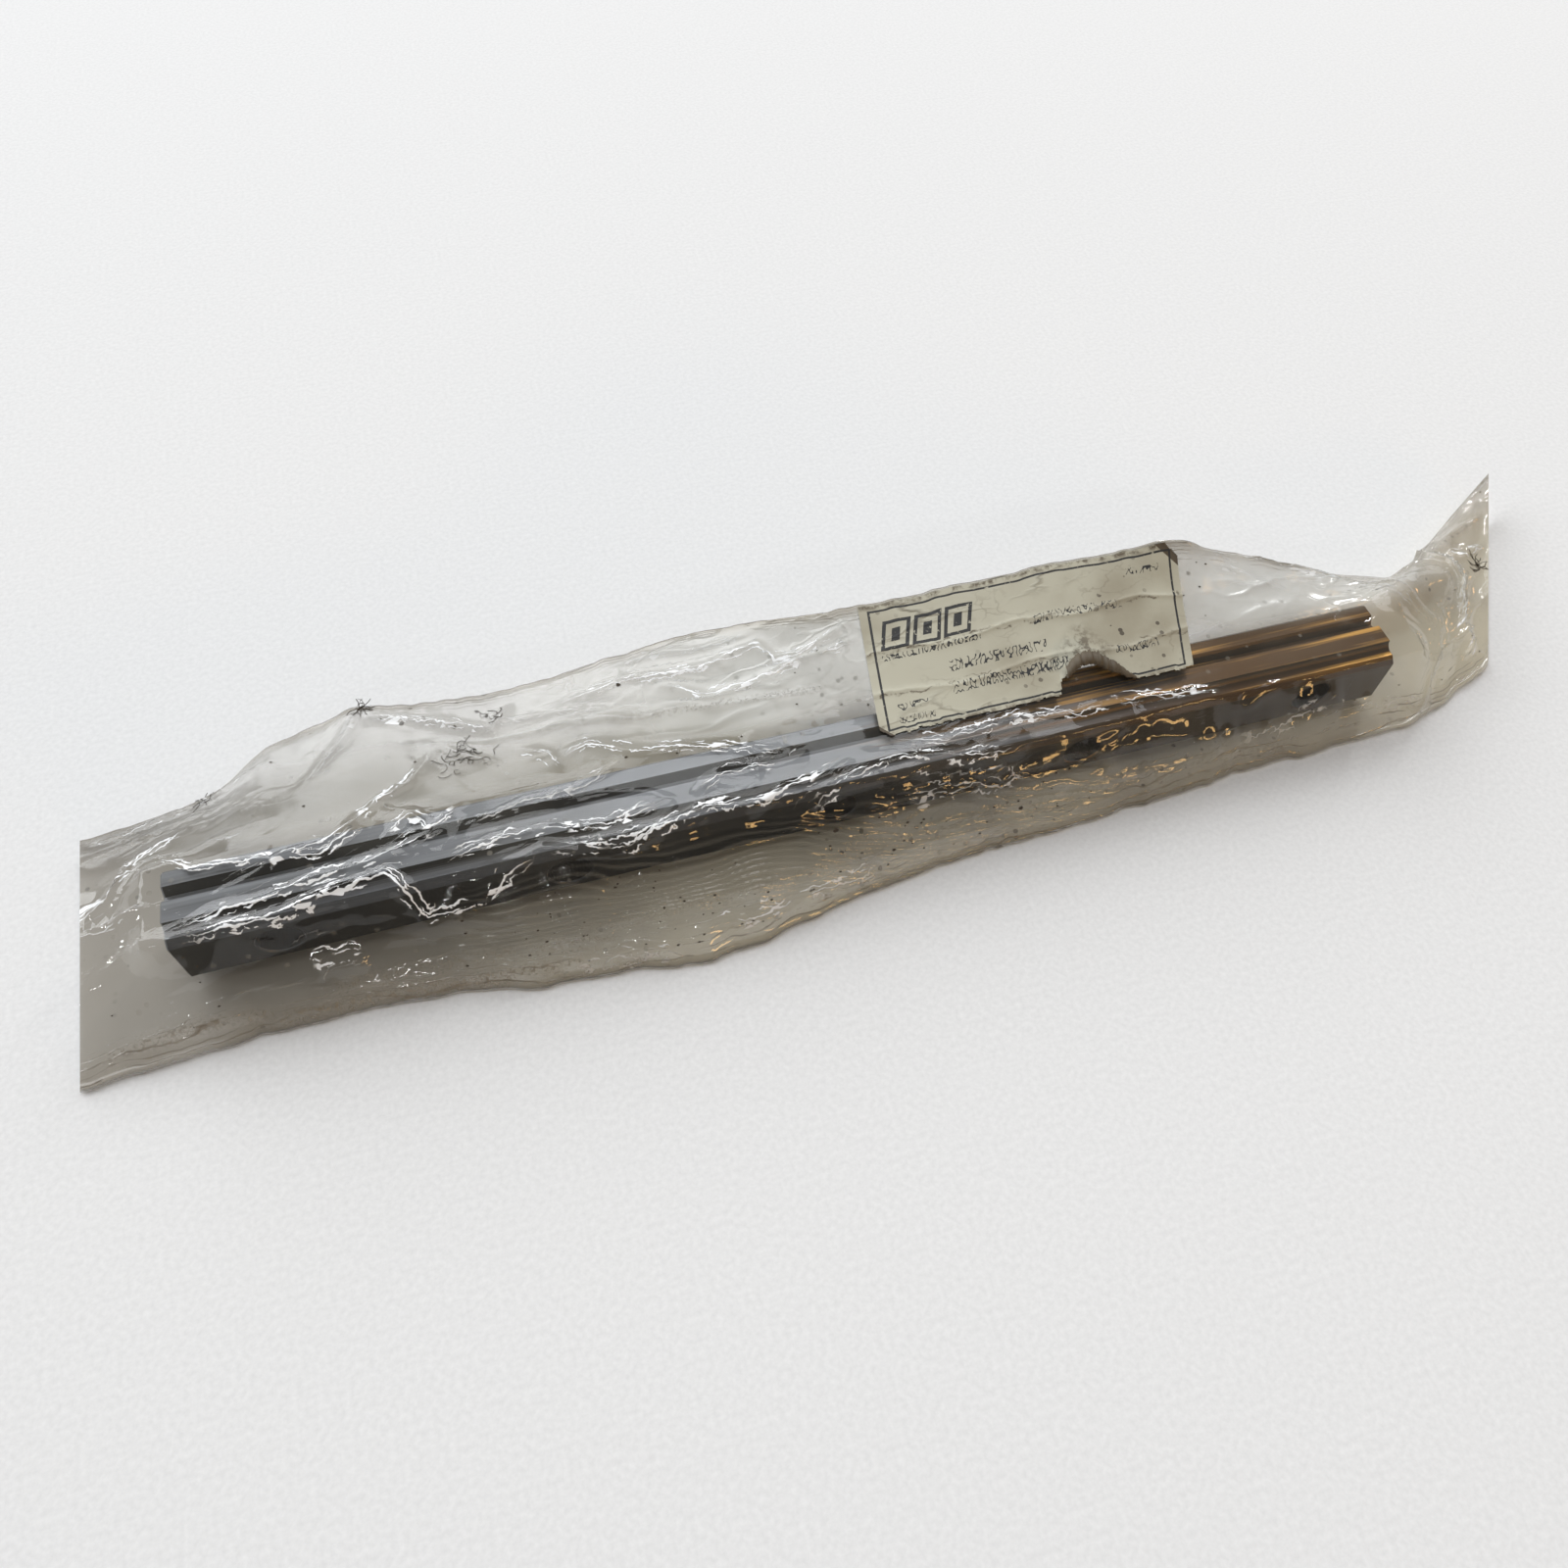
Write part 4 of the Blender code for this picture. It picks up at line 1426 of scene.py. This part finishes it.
@dataclass
class PaperLabel:
    """The torn paper label, stuck to the film and following it."""

    shape: FilmShape
    finish: bpy.types.Material
    near_x: Pair = (12.0, 88.5)
    far_x: Pair = (17.0, 97.0)
    near_y: float = -0.5
    crest_margin: float = 0.8
    rise: float = 0.3
    columns: int = 260
    rows: int = 110
    # the tear's outline, as shares along and across the label
    tear: tuple[Pair, ...] = (
        (0.545, 0.0), (0.565, 0.02), (0.572, 0.13), (0.60, 0.16), (0.625, 0.20),
        (0.655, 0.225), (0.69, 0.185), (0.75, 0.10), (0.80, 0.02), (0.81, 0.0),
    )

    def build(self) -> bpy.types.Object:
        """Makes the label's sheet over the film, without its torn-away places.

        Returns:
            The label.
        """
        u, v = np.meshgrid(np.linspace(0, 1, self.columns), np.linspace(0, 1, self.rows), indexing="ij")
        left, right = (near * (1 - v) + far * v for near, far in zip(self.near_x, self.far_x))
        x = left * (1 - u) + right * u
        place = self._on_film(x, u, v)
        keep = self._kept(u, v)
        strip, strip_quads = self._curled_strip(u, place)
        index = np.arange(u.size).reshape(u.shape)
        quads = np.stack([index[:-1, :-1], index[1:, :-1], index[1:, 1:], index[:-1, 1:]], -1)
        whole = keep[:-1, :-1] & keep[1:, :-1] & keep[1:, 1:] & keep[:-1, 1:]
        points = np.concatenate([place.reshape(-1, 3), strip]) * MM
        faces = quads[whole].tolist() + (strip_quads + u.size).tolist()
        mesh = new_mesh("torn_label", points.tolist(), faces, self.finish)
        layer = mesh.uv_layers.new(name="label_uv")
        corners = np.empty(len(mesh.loops), np.int32)
        mesh.loops.foreach_get("vertex_index", corners)
        flat_u = np.concatenate([u.ravel(), np.full(len(strip), 0.5)])
        flat_v = np.concatenate([v.ravel(), np.full(len(strip), -0.5)])
        layer.data.foreach_set("uv", np.stack([flat_u[corners], flat_v[corners]], -1).ravel())
        mesh.shade_smooth()
        self._drop_loose(mesh)
        return new_object("torn_label", mesh)

    def _curled_strip(self, u: Array, place: Array) -> tuple[Array, Array]:
        """The paper at the tear, rolled up and back over the label so that its brown back shows.

        Args:
            u: the share along the label at each of its points. place: those points on the film.

        Returns:
            The strip's points and its faces.
        """
        rng = np.random.default_rng(SEED + 61)
        first, last = int(0.585 * self.columns), int(0.81 * self.columns)
        turns = 11
        strip = []
        for i in range(first, last):
            share = (i - first) / (last - first - 1)
            edge = float(self._torn(u[i, 0])) + 0.015
            row = int(edge * (self.rows - 1))
            point, along = place[i, row], place[i + 1, row] - place[i - 1, row]
            inward = place[i, row + 3] - place[i, row]
            inward /= np.linalg.norm(inward)
            up = np.cross(along, inward)
            up /= np.linalg.norm(up)
            radius = 0.35 + 1.15 * math.sin(math.pi * min(1.0, 0.22 + share * 0.80)) ** 0.8
            radius *= 1 + 0.10 * rng.normal()
            for k in range(turns):
                angle = math.radians(235.0) * k / (turns - 1)
                flatter = 1.0 - 0.35 * k / (turns - 1)
                raised = 0.06 + radius * flatter * (1 - math.cos(angle))
                strip.append(point - inward * radius * 1.3 * math.sin(angle) + up * raised)
        index = np.arange(len(strip)).reshape(-1, turns)
        quads = np.stack([index[:-1, :-1], index[:-1, 1:], index[1:, 1:], index[1:, :-1]], -1).reshape(-1, 4)
        return np.array(strip), quads

    @staticmethod
    def _drop_loose(mesh: bpy.types.Mesh) -> None:
        """Removes points that no face uses.

        Args:
            mesh: the mesh to clean.
        """
        work = bmesh.new()
        work.from_mesh(mesh)
        bmesh.ops.delete(work, geom=[v for v in work.verts if not v.link_faces], context="VERTS")
        work.to_mesh(mesh)
        work.free()

    def _on_film(self, x: Array, u: Array, v: Array) -> Array:
        """Points a little above the upper film, with the paper curled up at its tear and buckled twice.

        Args:
            x: where the points lie along the bag. u, v: their shares along and across the label.

        Returns:
            The points.
        """
        film = self.shape.upper
        row_x = film[:, :, 0].mean(1)
        row = np.interp(x, row_x, np.arange(len(row_x)))
        r0 = np.clip(row.astype(int), 0, len(row_x) - 2)
        fr = row - r0
        film_y = film[..., 1]
        count = film.shape[1]
        near_column = np.argmin(np.abs(film_y - self.near_y), axis=1)
        start = near_column[r0] * (1 - fr) + near_column[r0 + 1] * fr
        column = start + (count - 1 - self.crest_margin / 0.5 - start) * v
        c0 = np.clip(column.astype(int), 0, count - 2)
        fc = column - c0
        normal = sheet_normals(film)

        def at(grid: Array) -> Array:
            """A grid's values between its own points.

            Args:
                grid: values at the film's points.

            Returns:
                Values at the label's points.
            """
            low = grid[r0, c0] * (1 - fc)[..., None] + grid[r0, c0 + 1] * fc[..., None]
            high = grid[r0 + 1, c0] * (1 - fc)[..., None] + grid[r0 + 1, c0 + 1] * fc[..., None]
            return low * (1 - fr)[..., None] + high * fr[..., None]

        torn = self._torn(u) * (u > 0.5) * (u < 0.8)
        curl = 0.5 * np.exp(-np.maximum(v - torn, 0) / 0.05) * smoothstep(0.06, 0.2, torn)
        corner = 1.6 * smoothstep(0.10, 0.0, (1 - u) * 1.6 + (1 - v))
        corner = corner + 0.8 * smoothstep(0.10, 0.0, u * 1.8 + v)
        buckle = 0.35 * np.exp(-np.abs(v - 0.62 - 0.03 * np.sin(17 * u)) / 0.02)
        buckle = buckle + 0.3 * np.exp(-np.abs(v - 0.30 - 0.03 * np.sin(13 * u + 1)) / 0.02)
        return at(film) + at(normal) * (self.rise + curl + corner + buckle)[..., None]

    def _torn(self, u: Array) -> Array:
        """How far across the label the tear reaches from the near edge, as a share of its width."""
        return np.interp(u, *zip(*self.tear))

    def _kept(self, u: Array, v: Array) -> Array:
        """Where paper is left: two corners are folded away and a notch is torn from the near edge.

        Args:
            u, v: the shares along and across the label.

        Returns:
            True where paper is left.
        """
        rng = np.random.default_rng(SEED + 60)
        rag = np.interp(u[:, 0], np.linspace(0, 1, 60), rng.uniform(-1, 1, 60))[:, None]
        keep = v > 0.012 + 0.012 * rag
        keep &= u * 18 + v * 9 > 0.55
        keep &= (1 - u) * 18 + (1 - v) * 9 > 0.75
        keep &= v > self._torn(u) + 0.02 * rag
        return keep


@dataclass
class GrimeFlecks:
    """Small dark flakes of dirt lying on the film, in one piece."""

    shape: FilmShape
    finish: bpy.types.Material
    count: int = 170
    # where fibres lie tangled: the middle in plan, how far they spread, and how many there are
    tangles: tuple[tuple[Pair, Pair, int], ...] = (
        ((-78.0, 22.0), (7.0, 5.0), 26),
        ((-99.0, 44.0), (0.7, 0.8), 16),
        ((-70.0, 32.0), (3.0, 2.0), 8),
        ((-134.0, 31.0), (3.0, 2.0), 7),
        ((185.5, 19.0), (0.9, 1.8), 16),
    )

    def build(self) -> bpy.types.Object:
        """Scatters flat irregular flakes over the upper layer.

        Returns:
            The flakes and fibres.
        """
        rng = np.random.default_rng(SEED + 70)
        film = self.shape.upper
        rows, columns = film.shape[:2]
        vertices, faces = [], []
        for _ in range(self.count):
            foot = rng.random() < 0.6
            r = int(rng.uniform(0.22, 0.62) * rows) if foot else int(rng.uniform(4, rows - 5))
            if foot:
                c = int(columns * rng.uniform(0.04, 0.22))
            else:
                c = int(columns * rng.choice([rng.uniform(0.04, 0.26), rng.uniform(0.5, 0.95)]))
            along = film[r + 2, c] - film[r - 2, c]
            across = film[r, c + 2] - film[r, c - 2]
            up = np.cross(along, across)
            up /= np.linalg.norm(up)
            along /= np.linalg.norm(along)
            across = np.cross(up, along)
            size = rng.uniform(0.09, 0.24) * (2.2 if rng.random() < 0.05 else 1.0)
            sides = 7
            first = len(vertices)
            turn = rng.uniform(0, 6.28)
            for lift in (0.12, 0.12 + 0.35 * size):
                for k in range(sides):
                    angle = turn + 2 * math.pi * k / sides
                    reach = size * rng.uniform(0.6, 1.2)
                    step = along * math.cos(angle) * reach * 1.6 + across * math.sin(angle) * reach
                    vertices.append(film[r, c] + step + up * lift)
            faces.append([first + k for k in reversed(range(sides))])
            faces.append([first + sides + k for k in range(sides)])
            for k in range(sides):
                n = (k + 1) % sides
                faces.append([first + k, first + n, first + sides + n, first + sides + k])
        for centre, spread, number in self.tangles:
            for _ in range(number):
                self._fibre(vertices, faces, rng, np.array(centre) + rng.normal(0, 0.5, 2) * spread)
        points = (np.array(vertices) * MM).tolist()
        return new_object("grime_flecks", new_mesh("grime_flecks", points, faces, self.finish))

    def _fibre(
        self, vertices: list[Array], faces: list[list[int]], rng: np.random.Generator, start: Array
    ) -> None:
        """Adds one curled three-sided fibre that lies on the film near start.

        Args:
            vertices, faces: the lists to add to. rng: the random numbers. start: where it begins, in plan.
        """
        film = self.shape.upper
        steps, thick = 7, rng.uniform(0.05, 0.11)
        place, heading = start.copy(), rng.uniform(0, 6.28)
        bend = rng.normal(0, 0.5)
        first = len(vertices)
        for _ in range(steps):
            nearest = np.argmin((film[..., 0] - place[0]) ** 2 + (film[..., 1] - place[1]) ** 2)
            height = film.reshape(-1, 3)[nearest, 2] + 0.22
            side = np.array([-math.sin(heading), math.cos(heading), 0.0]) * thick
            middle = np.array([place[0], place[1], height])
            vertices.extend([middle - side, middle + side, middle + np.array([0, 0, 1.6 * thick])])
            place = place + 0.55 * np.array([math.cos(heading), math.sin(heading)])
            heading += bend + rng.normal(0, 0.25)
        for step in range(steps - 1):
            a = first + 3 * step
            for k in range(3):
                n = (k + 1) % 3
                faces.append([a + k, a + 3 + k, a + 3 + n, a + n])
        faces.append([first, first + 1, first + 2])
        faces.append([first + 3 * steps - 1, first + 3 * steps - 2, first + 3 * steps - 3])


# ---------------------------------------------------------------- studio


@dataclass(frozen=True)
class SoftLight:
    """An area light aimed at a point, by default the middle of the frame."""

    name: str
    place: Triple
    size: Pair
    power: float
    colour: Triple = (1.0, 1.0, 1.0)
    aim: Triple = (0.0, 0.0, 0.0)

    def build(self) -> None:
        """Makes the lamp."""
        lamp = bpy.data.lights.new(self.name, "AREA")
        lamp.shape = "RECTANGLE"
        lamp.size, lamp.size_y = self.size
        lamp.energy = self.power
        lamp.color = self.colour
        holder = new_object(self.name, lamp)
        holder.location = self.place
        look = Vector(self.aim) - Vector(self.place)
        holder.rotation_euler = look.to_track_quat("-Z", "Y").to_euler()


@dataclass(frozen=True)
class Studio:
    """Pale floor, soft lamps, a dim world and the camera."""

    camera_place: Triple = (-0.0569, -0.1393, 0.2452)
    forward: Triple = (0.18302, 0.55386, -0.81224)
    upward: Triple = (0.21039, 0.78499, 0.58269)
    lens: float = 28.13
    shift_y: float = -0.0466

    def build(self) -> None:
        """Makes everything that isn't part of the object."""
        bpy.context.scene.view_settings.view_transform = "Standard"
        self._camera()
        self._floor()
        self._world()
        for light in (
            SoftLight("far_window", (-2.3, 4.3, 2.8), (5.8, 3.2), 252.0, (0.96, 0.98, 1.0)),
            SoftLight("high_window", (0.85, 2.9, 3.8), (2.3, 2.0), 42.0, (0.97, 0.99, 1.0)),
            SoftLight("overhead", (0.55, 0.10, 2.7), (1.5, 1.1), 16.0),
            SoftLight("left_strip", (-2.4, 0.65, 0.95), (0.05, 1.2), 13.0, (0.95, 0.98, 1.0)),
            SoftLight("far_strip", (1.6, 1.6, 1.5), (0.07, 1.0), 14.0),
            SoftLight("near_strip", (-0.75, -2.2, 1.5), (0.7, 0.04), 4.0),
            SoftLight("warm_near", (1.05, -2.0, 0.46), (1.1, 0.16), 8.0, (1.0, 0.60, 0.22)),
            SoftLight("warm_right", (1.5, 0.25, 0.38), (0.10, 0.10), 0.4, (1.0, 0.55, 0.2), (0.1, 0.0, 0.0)),
        ):
            light.build()

    def _camera(self) -> None:
        """The camera at the viewing angle, with its own up direction."""
        forward, up = Vector(self.forward).normalized(), Vector(self.upward).normalized()
        right = forward.cross(up)
        data = bpy.data.cameras.new("camera")
        data.lens = self.lens
        data.sensor_width = 36.0
        data.shift_y = self.shift_y
        data.clip_start = 0.01
        camera = new_object("camera", data)
        turn = Matrix((right, right.cross(forward), -forward)).transposed().to_4x4()
        camera.matrix_world = Matrix.Translation(self.camera_place) @ turn
        bpy.context.scene.camera = camera

    @staticmethod
    def _floor() -> None:
        """A wide pale floor just under the bag."""
        half = 6.0
        corners = [(-half, -half, 0), (half, -half, 0), (half, half, 0), (-half, half, 0)]
        paint = PlainPaint("floor_paint", (0.865, 0.865, 0.865)).build()
        floor = new_object("pale_floor", new_mesh("pale_floor", corners, [(0, 1, 2, 3)], paint))
        floor.location.z = FLOOR_DROP

    @staticmethod
    def _world() -> None:
        """Even light from all round."""
        world = bpy.data.worlds.new("studio")
        bpy.context.scene.world = world
        world.use_nodes = True
        background = world.node_tree.nodes["Background"]
        background.inputs["Color"].default_value = (1.0, 1.0, 1.0, 1.0)
        background.inputs["Strength"].default_value = 0.18


# ---------------------------------------------------------------- build


def main() -> None:
    logging.basicConfig(level=logging.INFO, format="%(name)s: %(message)s")
    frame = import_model()
    Studio().build()
    effects = SharedEffects()

    rail = frame["nodes"]["guide_rail"]
    steel = GroundSteel().build()
    rail.data.materials.clear()
    rail.data.materials.append(steel)
    LOG.info("guide_rail dressed in %s", steel.name)

    shape = FilmShape(*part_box("guide_rail"))
    shape.build()
    upper = ClearFilm(
        "film_upper", haze=0.018, far_dust_and_sheen_haze=0.48, dust=0.05, dust_colour=(0.50, 0.46, 0.37),
        far_colour=(0.58, 0.58, 0.53),
    )
    lower = ClearFilm(
        "film_lower", haze=0.90, far_dust_and_sheen_haze=0.0, dust=0.08, dust_colour=(0.335, 0.308, 0.262),
        far_colour=(0.61, 0.55, 0.41), creased=False, gloss_roughness=0.15,
    )
    bag_maker = PolyBag(shape, upper.build(effects), lower.build(effects))
    bag = bag_maker.build()
    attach(bag, "bag")
    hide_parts("poly_bag")

    label = PaperLabel(shape, LabelStock().build(effects)).build()
    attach(label, "bag")
    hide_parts("paper_label")
    LOG.info("torn_label: %d faces", len(label.data.polygons))

    flecks = GrimeFlecks(shape, PlainPaint("dirt", (0.06, 0.045, 0.03)).build()).build()
    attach(flecks, "bag")
    LOG.info("grime_flecks: %d faces", len(flecks.data.polygons))


if __name__ == "__main__":
    main()
